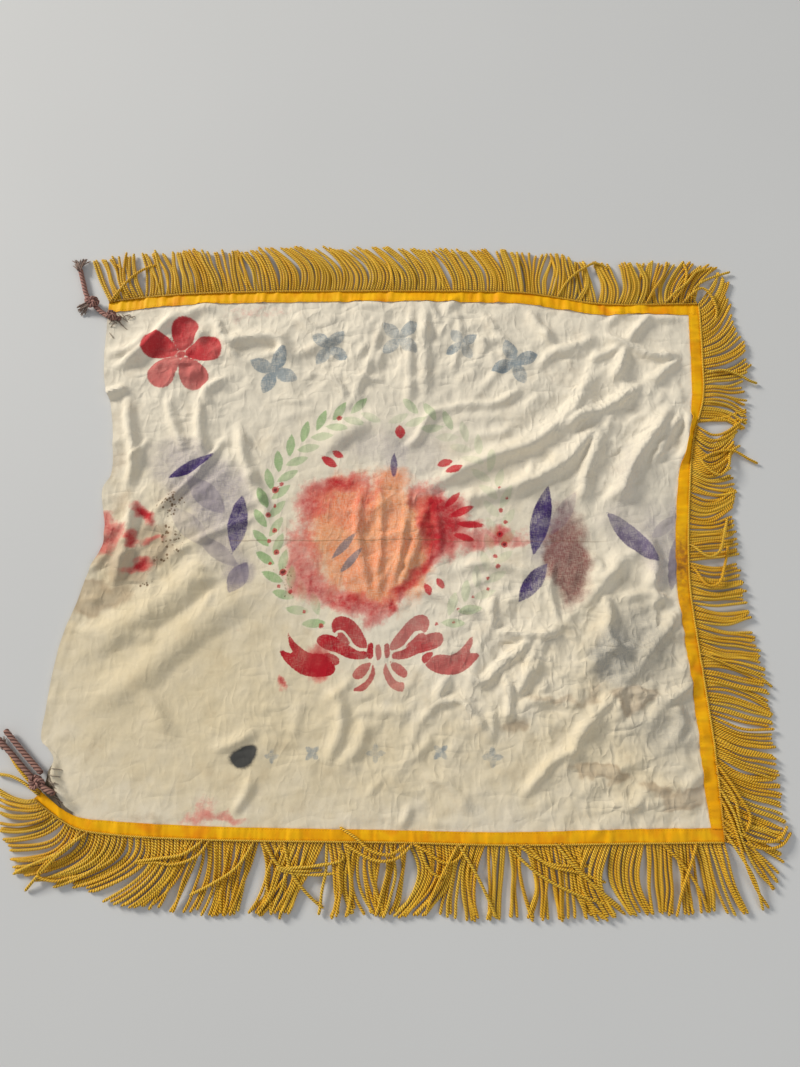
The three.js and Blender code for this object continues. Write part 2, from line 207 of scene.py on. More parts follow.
BOTTOM_FRINGE = [
    (0, 18, -42, 0.4, 0), (0.03, 36, -44, 0.5, 0), (0.06, 52, -44, 0.5, 4),
    (0.1, 54, -58, 0.5, 6), (0.13, 54, -60, 0.4, 6), (0.165, 56, -62, 0.4, 8),
    (0.19, 64, -46, 0.5, 8), (0.22, 69, -34, 0.6, 4), (0.26, 71, -22, 0.7, 2),
    (0.3, 71, -8, 0.9, 0), (0.36, 70, -16, 1.0, 2), (0.42, 70, -22, 0.9, 3),
    (0.5, 71, -4, 0.9, 0), (0.56, 70, -22, 0.7, 4), (0.62, 70, -18, 0.6, 3),
    (0.68, 71, 0, 0.9, 0), (0.74, 70, 4, 0.9, 0), (0.8, 70, 14, 0.8, -4),
    (0.86, 68, 2, 0.35, -4), (0.93, 68, 0, 0.6, -3), (0.96, 68, 8, 0.6, 0),
    (1, 66, 14, 0.6, 0),
]

# Loose strands that cross the others, as routes with the height of their highest part
TOP_STRAYS = [
    (7, [(-354, 305), (-341, 322), (-328, 339), (-312, 352), (-299, 358)]),
    (6, [(-348, 306), (-344, 316), (-338, 330), (-339, 345), (-349, 358)]),
    (8, [(192, 312), (200, 326), (212, 340), (228, 352), (240, 358), (258, 352)]),
    (6, [(150, 319), (148, 340), (146, 360), (145, 376)]),
    (7, [(300, 304), (310, 322), (322, 340), (330, 362)]),
    (8, [(322, 304), (336, 318), (350, 330), (364, 346), (380, 352)]),
    (7, [(330, 304), (344, 322), (352, 344), (350, 360)]),
    (9, [(344, 304), (356, 316), (368, 322), (378, 312), (384, 294), (382, 282)]),
]
RIGHT_STRAYS = [
    (9, [(345, 110), (352, 94), (366, 84), (378, 96), (382, 112), (396, 122)]),
    (8, [(341, 98), (360, 110), (384, 114), (404, 104), (414, 100)]),
    (12, [(326, 4), (344, -12), (356, -6), (364, 14), (372, 34)]),
    (11, [(326, -20), (340, -44), (352, -42), (362, -20), (370, 2)]),
    (8, [(327, -118), (345, -126), (366, -136), (386, -142), (402, -154)]),
    (9, [(362, 212), (382, 214), (402, 208), (414, 202), (424, 200)]),
    (8, [(333, -242), (348, -268), (352, -296), (366, -322), (386, -350)]),
    (9, [(334, -256), (346, -284), (352, -312), (366, -340), (382, -356)]),
    (10, [(334, -266), (344, -296), (352, -330), (362, -356), (374, -374)]),
    (9, [(334, -288), (350, -302), (372, -310), (390, -308), (402, -296)]),
    (8, [(334, -294), (352, -310), (374, -317), (392, -314), (405, -302)]),
    (10, [(333, -232), (350, -262), (362, -286), (356, -300), (346, -292)]),
    (9, [(335, -300), (346, -320), (360, -346), (368, -376)]),
]
BOTTOM_STRAYS = [
    (9, [(-376, -262), (-388, -250), (-402, -236), (-416, -219)]),
    (7, [(-377, -265), (-394, -252), (-408, -246), (-424, -244)]),
    (9, [(-140, -311), (-122, -334), (-106, -338), (-80, -338)]),
    (8, [(-66, -311), (-58, -326), (-92, -334), (-126, -336), (-96, -342), (-52, -340)]),
    (12, [(8, -312), (-10, -322), (-30, -318), (-46, -306), (-62, -297)]),
    (11, [(14, -312), (-4, -326), (-24, -328), (-44, -320), (-58, -312)]),
    (8, [(12, -312), (28, -320), (44, -330), (58, -328), (70, -312)]),
    (7, [(20, -314), (28, -334), (40, -344), (52, -342)]),
    (9, [(-202, -309), (-222, -322), (-246, -326), (-272, -330)]),
    (8, [(-196, -309), (-208, -324), (-232, -332), (-252, -330), (-270, -332)]),
    (9, [(-330, -300), (-340, -316), (-356, -324), (-380, -334), (-396, -342)]),
    (10, [(-322, -301), (-344, -318), (-366, -340), (-382, -358)]),
    (9, [(-328, -302), (-352, -322), (-368, -342), (-350, -348), (-330, -342)]),
    (8, [(110, -313), (134, -336), (160, -352), (184, -362), (214, -372)]),
    (9, [(160, -312), (178, -334), (202, -356), (224, -374)]),
    (8, [(166, -312), (184, -338), (206, -362), (228, -380)]),
    (7, [(120, -313), (148, -330), (176, -334), (198, -334)]),
    (8, [(130, -313), (150, -332), (182, -340), (210, -350)]),
    (7, [(270, -312), (290, -334), (306, -360), (312, -378)]),
    (8, [(306, -311), (296, -334), (286, -358), (280, -382)]),
    (8, [(-120, -310), (-110, -340), (-92, -362), (-78, -374)]),
    (8, [(-150, -310), (-166, -334), (-190, -350), (-214, -362)]),
    (8, [(60, -313), (44, -340), (32, -364), (26, -380)]),
    (8, [(60, -313), (78, -342), (90, -366), (98, -384)]),
]

# ---------------------------------------------------------------- ties, in metres
TIE_TOP = [
    (-0.338, 0.283, 0.0052), (-0.350, 0.285, 0.0052), (-0.362, 0.292, 0.0046),
    (-0.372, 0.302, 0.0036), (-0.382, 0.314, 0.0034), (-0.388, 0.331, 0.0034),
    (-0.394, 0.351, 0.0034),
]
TIE_BOTTOM = [
    (-0.358, -0.263, 0.0126), (-0.369, -0.258, 0.010), (-0.382, -0.250, 0.007),
    (-0.396, -0.237, 0.0066), (-0.410, -0.223, 0.0066), (-0.427, -0.207, 0.0066),
]
TIE_BOTTOM_SECOND = [
    (-0.375, -0.243, 0.008), (-0.388, -0.231, 0.0066), (-0.402, -0.217, 0.0066),
    (-0.419, -0.199, 0.0066),
]

# ---------------------------------------------------------------- dyes, soiling and printing
# Soft patches of dye or dirt: (x, y, half width, half height, turn in degrees, strength)
CRIMSON = [
    (-78, 72, 34, 11, 12, 0.95), (-100, 50, 16, 18, 40, 0.75), (-112, 5, 16, 30, 0, 0.55),
    (-108, -30, 20, 24, 0, 0.6), (-78, -54, 34, 13, -18, 0.75), (-56, -62, 20, 8, 0, 0.7),
    (-36, 64, 14, 22, -30, 0.4), (42, 34, 17, 34, 8, 1.15), (56, 44, 20, 12, 20, 1.0),
    (42, 10, 15, 21, 0, 1.1), (29, -20, 8, 22, -38, 1.0), (6, -48, 16, 6, 42, 0.85),
    (76, 29, 14, 4, 5, 0.9), (60, 22, 11, 11, 0, 0.8),
    (16, 58, 10, 14, 0, 0.55), (100, 12, 44, 11, 4, 0.5), (84, 6, 18, 12, 0, 0.55),
    (114, 16, 8, 9, 0, 0.9), (118, 5, 10, 6, 0, 0.85), (136, 8, 12, 4, 0, 0.6),
    (-28, -76, 14, 9, 30, 0.75), (-40, -66, 12, 10, 0, 0.6), (-12, -68, 5, 8, 0, 0.9),
    (-88, -128, 15, 15, 0, 1.2), (-330, 30, 16, 9, -25, 0.75), (-330, 6, 9, 16, 0, 0.75),
    (-290, 38, 13, 6, -40, 1.05), (-303, 9, 7, 6, 0, 0.95), (-291, -22, 16, 5, 18, 0.95),
    (-278, 8, 16, 5, 15, 0.7), (-318, 22, 14, 10, 0, 0.4), (-205, -280, 13, 14, 0, 0.42),
    (-180, -288, 24, 5, -12, 0.5), (-215, -292, 14, 6, 0, 0.35), (-127, -150, 4, 6, 35, 0.9),
    (-168, 294, 44, 7, 0, 0.22), (-196, 282, 20, 8, 0, 0.16),
    (-120, -16, 10, 14, 0, 0.35),
]
ORANGE = [
    (-62, 44, 36, 32, -15, 1.1), (-62, 8, 46, 36, 0, 0.75), (-52, -34, 40, 24, 10, 0.6),
    (-10, 30, 22, 56, 0, 0.95), (-12, -24, 18, 44, 0, 0.85), (22, 14, 20, 46, -6, 0.95),
    (12, -20, 18, 36, 0, 0.8), (-34, -52, 22, 18, 0, 0.55), (34, 52, 12, 14, 0, 0.5),
    (-36, 80, 26, 16, -20, 0.3), (0, 84, 14, 10, 0, 0.4),
]
VIOLET = [
    (-262, 112, 34, 22, 10, 0.45), (-236, 78, 40, 34, 0, 0.65), (-200, 62, 34, 34, -20, 0.6),
    (-206, 24, 34, 26, -35, 0.42), (-196, -8, 30, 20, -30, 0.36), (-178, -28, 15, 16, 0, 0.7),
    (-36, 122, 46, 22, 10, 0.42), (34, 108, 26, 32, 0, 0.36), (-4, 100, 14, 24, 0, 0.4),
    (176, 26, 26, 34, 0, 0.45), (166, -4, 22, 30, 0, 0.5), (262, 88, 18, 44, -10, 0.28),
    (292, 22, 34, 40, 0, 0.34), (318, 2, 9, 42, 0, 0.8), (300, -30, 18, 22, 0, 0.5),
    (240, 30, 22, 24, 0, 0.3), (20, -16, 20, 26, 30, 0.3), (282, 4, 22, 26, 0, 0.34),
]
# Where the orange dye is thickest and turns red
EMBER = [(-62, 44, 25, 20, -20, 1.0), (-40, 26, 14, 12, -30, 0.5), (10, 20, 14, 40, 0, 0.22)]
MAUVE = [
    (190, -22, 21, 40, 0, 1.0), (182, 10, 20, 22, 0, 0.6), (192, 44, 14, 18, 0, 0.5),
    (174, -10, 12, 22, 0, 0.6), (200, 2, 12, 14, 0, 0.5),
]
BROWN = [
    (-284, 2, 30, 22, 10, 0.7), (-300, -28, 22, 12, 0, 0.6), (-326, -8, 24, 16, 0, 0.5),
    (-336, -58, 32, 15, 8, 0.85), (-348, -46, 14, 10, 0, 0.6), (-318, 52, 14, 18, 0, 0.35),
    (-330, 100, 14, 20, 0, 0.28), (-264, 60, 18, 20, 0, 0.25), (254, -163, 20, 8, 0, 1.0),
    (246, -176, 14, 7, 0, 0.7), (214, -243, 28, 7, -8, 0.85), (122, -196, 11, 9, 0, 0.6),
    (168, -167, 44, 4, -4, 0.4), (208, -160, 7, 13, 0, 0.3), (270, -262, 16, 5, -30, 0.6),
    (298, -270, 24, 6, 14, 0.8), (216, -96, 12, 14, 0, 0.2), (-262, -288, 30, 5, 0, 0.3),
    (-120, 238, 14, 12, 0, 0.15), (96, 70, 26, 30, 0, 0.15), (330, -255, 8, 12, 0, 0.4),
]
GREY = [
    (231, -114, 20, 18, 20, 1.0), (238, -136, 24, 20, 0, 0.75), (222, -126, 16, 20, 0, 0.6),
    (256, -96, 34, 26, 0, 0.5), (282, -120, 34, 34, 0, 0.4), (292, -176, 40, 40, 0, 0.38),
    (262, -200, 46, 22, 0, 0.34), (300, -226, 30, 40, 0, 0.34), (236, 100, 24, 40, 0, 0.25),
    (300, 50, 22, 60, 0, 0.34), (192, -260, 60, 20, 0, 0.16), (270, -60, 40, 30, 0, 0.3),
    (212, 60, 20, 34, 0, 0.2), (24, 196, 16, 60, 0, 0.2), (0, 262, 42, 34, 0, 0.14),
]
YELLOW = [
    (-250, -150, 170, 150, 0, 0.9), (-300, 20, 90, 110, 0, 0.4), (-60, -230, 150, 90, 0, 0.7),
    (160, -250, 170, 60, 0, 0.45), (120, 60, 90, 90, 0, 0.28), (-110, 60, 60, 120, 0, 0.3),
    (240, -170, 130, 150, 0, 0.55),
]
INK_RAGGED = 0.35  # how far an ink blot strays from its ellipse, as a share of a dye's
INK = [(-167, -227, 11, 8.5, 15, 1.3), (-160, -221, 7, 6, 0, 0.8)]
SPECKLED = [
    (-262, 52, 14, 12, 30, 1), (-262, 16, 7, 20, 0, 1), (-250, 4, 4, 14, 0, 1),
    (-270, -14, 8, 6, 0, 1), (-284, -40, 8, 10, 0, 1), (-131, -28, 8, 8, 0, 1),
    (-126, -48, 8, 12, 0, 0.5),
]
LEAF_FADE = [(-98, -18, 20, 62, -14, 1.0), (-28, 160, 34, 14, 0, 0.7), (-86, 118, 22, 22, 0, 0.4)]

WREATH_CENTRE = (-18, 33)
WREATH_RADIUS = 132
LEAF_STATIONS = 30
BERRIES = [
    (-71, 155, 3.2), (-136, 75, 2.4), (-143, 68, 4), (-150, 38, 2.8), (-143, 49, 2),
    (-142, 20, 2.8), (-148, 8, 2.4), (-139, -5, 3.2), (-146, -18, 2), (-131, -28, 4),
    (-135, -44, 2), (-122, -50, 2.4), (-87, -88, 2.8), (-106, -72, 2),
    (113, 68, 1.6), (122, 58, 1.76), (115, 44, 2.56), (120, 30, 2.4), (113, 16, 3.52),
    (118, 4, 3.68), (107, -10, 2.56), (109, -22, 2.4), (98, -35, 2.08), (98, -47, 1.92),
    (81, -56, 1.76), (40, -86, 1.92), (59, -84, 1.6), (64, -70, 1.44),
]
# Ray tips round the disc: (x, y, half length, half width, turn)
RAY_TIPS = [
    (0, 138, 9, 6, 95), (-82, 102, 12, 5, -35), (-72, 111, 8, 4, -30), (52, 100, 10, 5, 15),
    (62, 91, 11, 5, 20), (45, -41, 8, 4, 120), (31, -48, 8, 4, 115),
    (80, 27, 18, 4, -4), (70, 42, 16, 4.5, 24), (72, 12, 14, 4, -18), (60, 56, 13, 4, 44),
]
# Bow: closed outlines as (group, strength, points). Neighbours are in different groups.
BOW = [
    (0, 0.95, [
        (-36, -112), (-37, -106.5), (-41.5, -96), (-48, -86.5), (-56.5, -80), (-66, -78),
        (-73, -81.5), (-74.5, -87.5), (-72.5, -95.5), (-68.5, -92), (-62.5, -92.5), (-55, -100),
        (-51, -106.5), (-45, -111),
    ]),
    (1, 0.9, [
        (-68.5, -96.5), (-64.5, -95.5), (-59, -101), (-55, -107.5), (-61, -105), (-66.5, -101),
    ]),
    (1, 1.0, [
        (-89.5, -100.5), (-83.5, -98), (-75, -99), (-64.5, -104.5), (-55, -110.5), (-45.5, -116),
        (-37, -117), (-36, -122), (-47.5, -124), (-58, -122), (-68.5, -117), (-81, -113),
        (-88.5, -108.5), (-91, -104.5),
    ]),
    (0, 1.0, [
        (-123.5, -95), (-119, -102.5), (-108, -113), (-97.5, -118.5), (-87, -119), (-78.5, -123),
        (-72, -131.5), (-71, -135.5), (-74, -140.5), (-84.5, -142.5), (-97, -142.5),
        (-107.5, -139.5), (-118, -132.5), (-125.5, -125), (-131, -115), (-121.5, -118),
        (-116.5, -118), (-120.5, -108.5),
    ]),
    (2, 0.95, [
        (-83, -118), (-74.5, -119), (-67, -124), (-67, -128.5), (-71, -130.5), (-74.5, -125),
        (-79.5, -122),
    ]),
    (2, 1.0, [
        (-34, -107.5), (-30.5, -107), (-30, -115), (-30.5, -123), (-34.5, -123), (-35.5, -115),
    ]),
    (0, 0.75, [
        (-26, -109.5), (-23.5, -108.5), (-21, -115), (-21, -122), (-24, -125.5), (-25.5, -121),
        (-26.5, -115),
    ]),
    (2, 0.85, [
        (-16.5, -108.5), (-13.5, -107.5), (-12, -113), (-12, -121), (-15, -123), (-16.5, -117),
    ]),
    (0, 0.85, [
        (-31.5, -128.5), (-39, -129.5), (-47, -134.5), (-51, -141.5), (-49, -145), (-41, -144),
        (-34.5, -135.5),
    ]),
    (1, 0.85, [
        (-29.5, -130.5), (-27.5, -137.5), (-29.5, -146), (-34.5, -153), (-40.5, -158), (-51, -157),
        (-45, -154), (-36.5, -148), (-31.5, -139.5),
    ]),
    (0, 0.85, [
        (-10.5, -127.5), (-3.5, -129), (4, -133.5), (7.5, -139.5), (6, -144), (1, -142.5),
        (-7.5, -135.5),
    ]),
    (1, 0.75, [
        (-16, -128.5), (-17.5, -137.5), (-14, -148), (-8.5, -155), (3, -158), (3.5, -150),
        (-3.5, -149), (-10.5, -140.5), (-14, -133.5),
    ]),
    (0, 0.80, [
        (-11, -110.5), (-7.5, -103.5), (1, -93), (9, -83.5), (19, -77), (27.5, -77), (31.5, -82.5),
        (30.5, -91), (27, -95.5), (24, -92.5), (16.5, -93.5), (9, -101.5), (3, -109.5),
        (-5.5, -113.5), (-10.5, -114),
    ]),
    (1, 0.88, [
        (27, -96.5), (21, -97), (13.5, -104), (7.5, -109.5), (15.5, -107.5), (23, -102.5),
    ]),
    (1, 0.92, [
        (-8.5, -123), (-7.5, -118), (3, -115), (13.5, -108.5), (24, -100.5), (36.5, -96),
        (45, -97), (47, -103.5), (42.5, -110.5), (30, -115), (19.5, -118), (7, -123), (-3.5, -124),
    ]),
    (2, 0.92, [
        (35.5, -117), (34, -122), (27, -128.5), (24, -124), (27, -119),
    ]),
    (0, 0.85, [
        (28, -130.5), (36.5, -122), (44.5, -120), (53, -121), (61.5, -118), (70, -110.5),
        (76.5, -102.5), (79, -100.5), (78.5, -108.5), (75, -118), (85.5, -119), (80, -127.5),
        (69.5, -136.5), (57, -140.5), (42.5, -139.5), (32, -134.5),
    ]),
]
# Four-petal motifs: (x, y, size, turn, strength along, strength across)
GREY_MOTIFS = [
    (-150, 216, 58, 22, 0.95, 0.85), (-84, 246, 50, 8, 0.85, 0.95), (0, 258, 54, 0, 0.8, 0.7),
    (74, 250, 42, -12, 0.9, 0.6), (137, 226, 56, -24, 0.95, 0.9),
    (-136, -226, 16, 45, 0.7, 0.6), (-93, -223, 18, 0, 0.7, 0.7), (-26, -223, 20, 45, 0.6, 0.6),
    (43, -222, 19, 0, 0.8, 0.5), (98, -227, 22, 45, 0.7, 0.6),
]
# Broad leaves: (x, y, half length, half width, turn, strength)
VIOLET_LEAVES = [
    (-241, 96, 30, 6.5, 30, 1.0), (-184, 28, 34, 11, 84, 1.0), (-181, -34, 20, 11, 62, 0.7),
    (-222, 62, 32, 13, -44, 0.34), (-238, 24, 34, 12, -44, 0.28), (-205, -4, 30, 9, -36, 0.34),
    (160, 32, 42, 11, 76, 1.0), (148, -40, 28, 9.5, 52, 1.0), (186, 40, 30, 9, 58, 0.25),
    (262, 12, 40, 11, -47, 0.85), (309, -16, 34, 8, 78, 0.6), (300, 24, 22, 7, 40, 0.3),
    (-7, 97, 16, 4, 90, 0.85),
]
ASH_LEAVES = [(-63, 2, 20, 4.6, 47, 1.0), (-55, -15, 19, 4.4, 48, 1.0)]
# Painted shade, with some dirt: the dark patch where the cloth's corner turns under, between its edge and the
# ribbon at the lower corner
TURNED_CORNER_SHADE_AND_DIRT = [
    (-372, -224), (-367, -232), (-365, -246), (-358, -262), (-346, -277), (-336, -285),
    (-346, -284), (-360, -274), (-374, -262), (-378, -254), (-371, -244), (-374, -234),
]
BLOSSOM = (-262, 236, 47, 14)  # x, y, reach of a petal, turn in degrees
PRESSED_LINES = [(-200, 60, 8.5, 0.4), (40, 240, 7.5, 0.28)]  # from x, to x, y, strength

# ---------------------------------------------------------------- sizes and colours


def length_property(label, note, default):
    return FloatProperty(name=label, description=note, default=default, unit="LENGTH", min=1e-4)


def colour_property(label, note, default):
    return FloatVectorProperty(
        name=label, description=note, default=default, subtype="COLOR", min=0, max=1
    )


class ClothSettings(bpy.types.PropertyGroup):
    """Sizes of the panel and its ribbon."""

    columns: IntProperty(
        name="Columns", description="Cells across the panel, even", default=300, min=20
    )
    rows: IntProperty(
        name="Rows", description="Cells up the panel, even", default=246, min=20
    )
    thickness: length_property("Cloth thickness", "Thickness of the cotton", 0.7 * MM)
    ribbon: length_property("Ribbon thickness", "Thickness of the ribbon tape", 0.6 * MM)
    fold_scale: FloatProperty(
        name="Fold height", description="Height of the folds against the drawn ones", default=1.12
    )
    crumple: length_property("Crumple height", "Height of the smallest creases", 1.75 * MM)
    hem: length_property("Hem width", "Width of the turned hem on the pole side", 9 * MM)


class FringeSettings(bpy.types.PropertyGroup):
    """Sizes of the fringe strands and of the cord ties."""

    strand: length_property("Strand diameter", "Diameter of one fringe strand", 3.55 * MM)
    lay: length_property("Strand lay", "Length of one turn of a strand's plies", 5.4 * MM)
    spacing: length_property("Strand spacing", "Distance between strands", 3.4 * MM)
    tie: length_property("Tie diameter", "Diameter of a cord tie", 6 * MM)
    tie_lay: length_property("Tie lay", "Length of one turn of a tie's plies", 15 * MM)


class ColourSettings(bpy.types.PropertyGroup):
    """Dyes of the cloth, the ribbon, the fringe and the ties, as linear colours."""

    cotton: colour_property("Cotton", "Clean cloth", (0.86, 0.775, 0.62))
    aged: colour_property("Aged cotton", "Yellowed cloth", (0.755, 0.63, 0.405))
    crimson: colour_property("Crimson", "Red dye", (0.52, 0.010, 0.022))
    orange: colour_property("Orange", "Orange dye", (0.87, 0.21, 0.045))
    violet: colour_property("Violet", "Violet ink", (0.055, 0.028, 0.13))
    slate: colour_property("Slate", "Blue-grey ink", (0.20, 0.26, 0.30))
    leaf: colour_property("Leaf", "Green of the wreath", (0.24, 0.43, 0.15))
    brown: colour_property("Brown", "Water marks", (0.30, 0.18, 0.09))
    ribbon: colour_property("Ribbon", "Ribbon tape", (0.97, 0.44, 0.002))
    gold: colour_property("Gold", "Fringe strands", (1.0, 0.54, 0.022))
    cord: colour_property("Cord", "Cord ties", (0.46, 0.235, 0.195))
    thread: colour_property("Thread", "Sewing at the corners", (0.20, 0.13, 0.09))

# ---------------------------------------------------------------- curves and random fields


def along(points, places):
    """Points at the given shares of the length of a smooth line through given points.

    Each span is a cubic between two points. Its end slopes weigh the neighbouring steps by
    the square roots of their lengths, so the line doesn't loop. The line is then measured,
    so that equal shares are equal lengths.
    """
    knots = np.array(points, float)
    knots = np.vstack([2 * knots[0] - knots[1], knots, 2 * knots[-1] - knots[-2]])
    p0, p1, p2, p3 = knots[:-3], knots[1:-2], knots[2:-1], knots[3:]
    d0, d1, d2 = (
        np.sqrt(np.linalg.norm(b - a, axis=1))[:, None]
        for a, b in ((p0, p1), (p1, p2), (p2, p3))
    )
    start = ((p1 - p0) / d0 - (p2 - p0) / (d0 + d1) + (p2 - p1) / d1) * d1
    end = ((p2 - p1) / d1 - (p3 - p1) / (d1 + d2) + (p3 - p2) / d2) * d1
    t = np.linspace(0, 1, 24, endpoint=False)[None, :, None]
    line = (
        (2 * t**3 - 3 * t**2 + 1) * p1[:, None] + (t**3 - 2 * t**2 + t) * start[:, None]
        + (3 * t**2 - 2 * t**3) * p2[:, None] + (t**3 - t**2) * end[:, None]
    ).reshape(-1, knots.shape[1])
    line = np.vstack([line, knots[-2]])
    steps = np.linalg.norm(np.diff(line, axis=0), axis=1)
    length = np.concatenate([[0], np.cumsum(steps)])
    wanted = np.asarray(places) * length[-1]
    return np.stack([np.interp(wanted, length, column) for column in line.T], -1)


def line_length(points):
    """Length of the smooth line through the points, as the sum of many short steps."""
    line = along(points, np.linspace(0, 1, 400))
    return float(np.linalg.norm(np.diff(line, axis=0), axis=1).sum())


def smooth(t):
    """Rise from 0 to 1 that starts and ends level: 3 t squared less 2 t cubed."""
    t = np.clip(t, 0, 1)
    return t * t * (3 - 2 * t)


def turned(x, y, degrees):
    """The two distances measured along axes that are turned by the angle."""
    angle = math.radians(degrees)
    c, s = math.cos(angle), math.sin(angle)
    return x * c + y * s, y * c - x * s


def cloudy(x, y, size, seed):
    """Smooth random field between about -1 and 1.

    A random slope stands at each corner of a square net with cells of the given size. Each
    corner's slope gives a height, and the four heights are blended across the cell.
    """
    angles = np.random.default_rng(seed).uniform(0, 2 * math.pi, (256, 256))
    gx = x / size + 1000.37
    gy = y / size + 1000.11
    i = np.floor(gx).astype(int)
    j = np.floor(gy).astype(int)
    fx = gx - i
    fy = gy - j

    def corner(di, dj):
        angle = angles[(i + di) % 256, (j + dj) % 256]
        return np.cos(angle) * (fx - di) + np.sin(angle) * (fy - dj)

    sx = smooth(fx)
    sy = smooth(fy)
    low = corner(0, 0) * (1 - sx) + corner(1, 0) * sx
    high = corner(0, 1) * (1 - sx) + corner(1, 1) * sx
    return 1.5 * (low * (1 - sy) + high * sy)


def creased(x, y, size, stretch, degrees, seed):
    """Random sharp ridges between about 0 and 1, drawn out along a direction: one less the
    size of a smooth random field, squared."""
    lengthways, across = turned(x, y, degrees)
    field = cloudy(lengthways / stretch, across, size, seed)
    return (1 - np.minimum(1, 1.7 * np.abs(field))) ** 2


# ---------------------------------------------------------------- the lie of the cloth


def nearest_on(x, y, line):
    """Signed distance to a line of points, positive on its left, and the share of its length
    at the nearest place."""
    steps = np.linalg.norm(np.diff(line, axis=0), axis=1)
    before = np.concatenate([[0], np.cumsum(steps)])
    best = np.full(x.shape, np.inf)
    place = np.zeros(x.shape)
    for k, ((ax, ay), (bx, by)) in enumerate(zip(line[:-1], line[1:])):
        dx = bx - ax
        dy = by - ay
        t = np.clip(((x - ax) * dx + (y - ay) * dy) / (dx * dx + dy * dy), 0, 1)
        away = np.hypot(x - ax - t * dx, y - ay - t * dy)
        left = dx * (y - ay) - dy * (x - ax) >= 0
        nearer = away < np.abs(best)
        best = np.where(nearer, np.where(left, away, -away), best)
        place = np.where(nearer, before[k] + t * steps[k], place)
    return best, place / before[-1]


def fold_heights(x, y):
    """Height of the drawn folds.

    Across a fold the height falls from its crest as a mix of a round and a sharp profile,
    with its own reach on either side, and it fades towards the fold's ends. A sharper fold
    is drawn in narrower and lower. Where folds meet, their heights add as the third root of the sum of cubes.
    """
    total = np.zeros(x.shape)
    for height, left, right, sharpness, crest in FOLDS:
        line = along(crest, np.linspace(0, 1, 3 * len(crest)))
        low = line.min(0) - max(left, right)
        high = line.max(0) + max(left, right)
        near = (x > low[0]) & (x < high[0]) & (y > low[1]) & (y < high[1])
        side, place = nearest_on(x[near], y[near], line)
        reach = np.where(side > 0, left, right) * (1 - 0.28 * sharpness)
        t = np.minimum(1, np.abs(side) / reach)
        across = (1 - sharpness) * (1 - t * t) ** 2 + sharpness * (1 - t) ** 2 * (1 + 0.4 * t)
        ends = 0.12 + 0.88 * smooth(4 * place) * smooth(4 * (1 - place))
        total[near] += (height * (1 - 0.2 * sharpness) * across * ends) ** 3
    return np.cbrt(total)


def crumpled(x, y):
    """How crumpled the cloth is at a place, from 0 to about 1.3, as a sum of soft patches."""
    total = np.zeros(x.shape)
    for cx, cy, reach, strength in CRUMPLED:
        total += strength * np.exp(-2.5 * ((x - cx) ** 2 + (y - cy) ** 2) / reach**2)
    return np.minimum(total, 1.3)


def short_creases(x, y, count, seed):
    """Heights of many short straight creases.

    Each has a random place, direction, length and height. Its height falls off in a
    straight line on both sides and towards its ends, so it looks pinched.
    """
    draw = np.random.default_rng(seed)
    total = np.zeros(x.shape)
    for _ in range(count):
        cx = draw.uniform(-380, 350)
        cy = draw.uniform(-300, 305)
        angle = draw.normal(42 if cx > -120 else 15, 38)
        half = draw.uniform(9, 34)
        reach = draw.uniform(5, 11)
        height = draw.uniform(-1.0, 2.6)
        keep = draw.uniform(0, 1.1) < crumpled(np.array([cx]), np.array([cy]))[0]
        near = (np.abs(x - cx) < half) & (np.abs(y - cy) < half)
        if not keep or not near.any():
            continue
        lengthways, across = turned(x[near] - cx, y[near] - cy, angle)
        bend = 0.004 * lengthways**2
        fall = np.clip(1 - np.abs(across - bend) / reach, 0, 1)
        ends = np.clip(1 - np.abs(lengthways) / half, 0, 1)
        total[near] += height * fall**1.5 * smooth(1.6 * ends)
    return total


def raw_height(x, y, cloth):
    """Height of the cloth before it is softened, in millimetres: the drawn folds, then
    random ridges of several sizes and many short creases, both stronger where the cloth is
    crumpled, then a slow wave. It never goes below the floor."""
    amount = crumpled(x, y)
    unit = cloth.crumple / MM
    ridges = (
        1.5 * creased(x, y, 46, 2.0, 48, 11) + 0.9 * creased(x, y, 24, 1.8, 30, 12)
        + 0.75 * creased(x, y, 25, 1.6, 110, 13) + 0.4 * creased(x, y, 12, 1.5, 60, 14)
    )
    calm = 0.5 + 0.5 * cloudy(x, y, 60, 15) + 0.2 * cloudy(x, y, 22, 16)
    height = cloth.fold_scale * fold_heights(x, y)
    height += unit * (0.25 + amount) * ridges
    height += unit * (short_creases(x, y, 900, 17) + 0.6 * calm)
    return np.maximum(height, 0)


NET = 1.6  # cell of the net that holds the cloth's height
NET_START = (-440.0, -400.0)
NET_COUNT = (550, 500)
SOFTENING = 1.6  # spread of the softening, which stands for the cloth's stiffness
height_nets = {}


def height_net(cloth):
    """Heights on a fine square net over the drawing plane, softened once along each axis by
    a bell curve, and kept for later calls."""
    key = (cloth.fold_scale, cloth.crumple)
    if key not in height_nets:
        x, y = (NET_START[k] + NET * np.arange(NET_COUNT[k]) for k in (0, 1))
        heights = raw_height(*np.meshgrid(x, y), cloth)
        steps = np.arange(-5, 6) * NET
        bell = np.exp(-0.5 * (steps / SOFTENING) ** 2)
        bell /= bell.sum()
        for axis in (0, 1):
            edged = np.pad(heights, [(5, 5) if k == axis else (0, 0) for k in (0, 1)], "edge")
            length = heights.shape[axis]
            heights = sum(
                weight * np.take(edged, np.arange(k, k + length), axis=axis)
                for k, weight in enumerate(bell)
            )
        height_nets[key] = heights
    return height_nets[key]


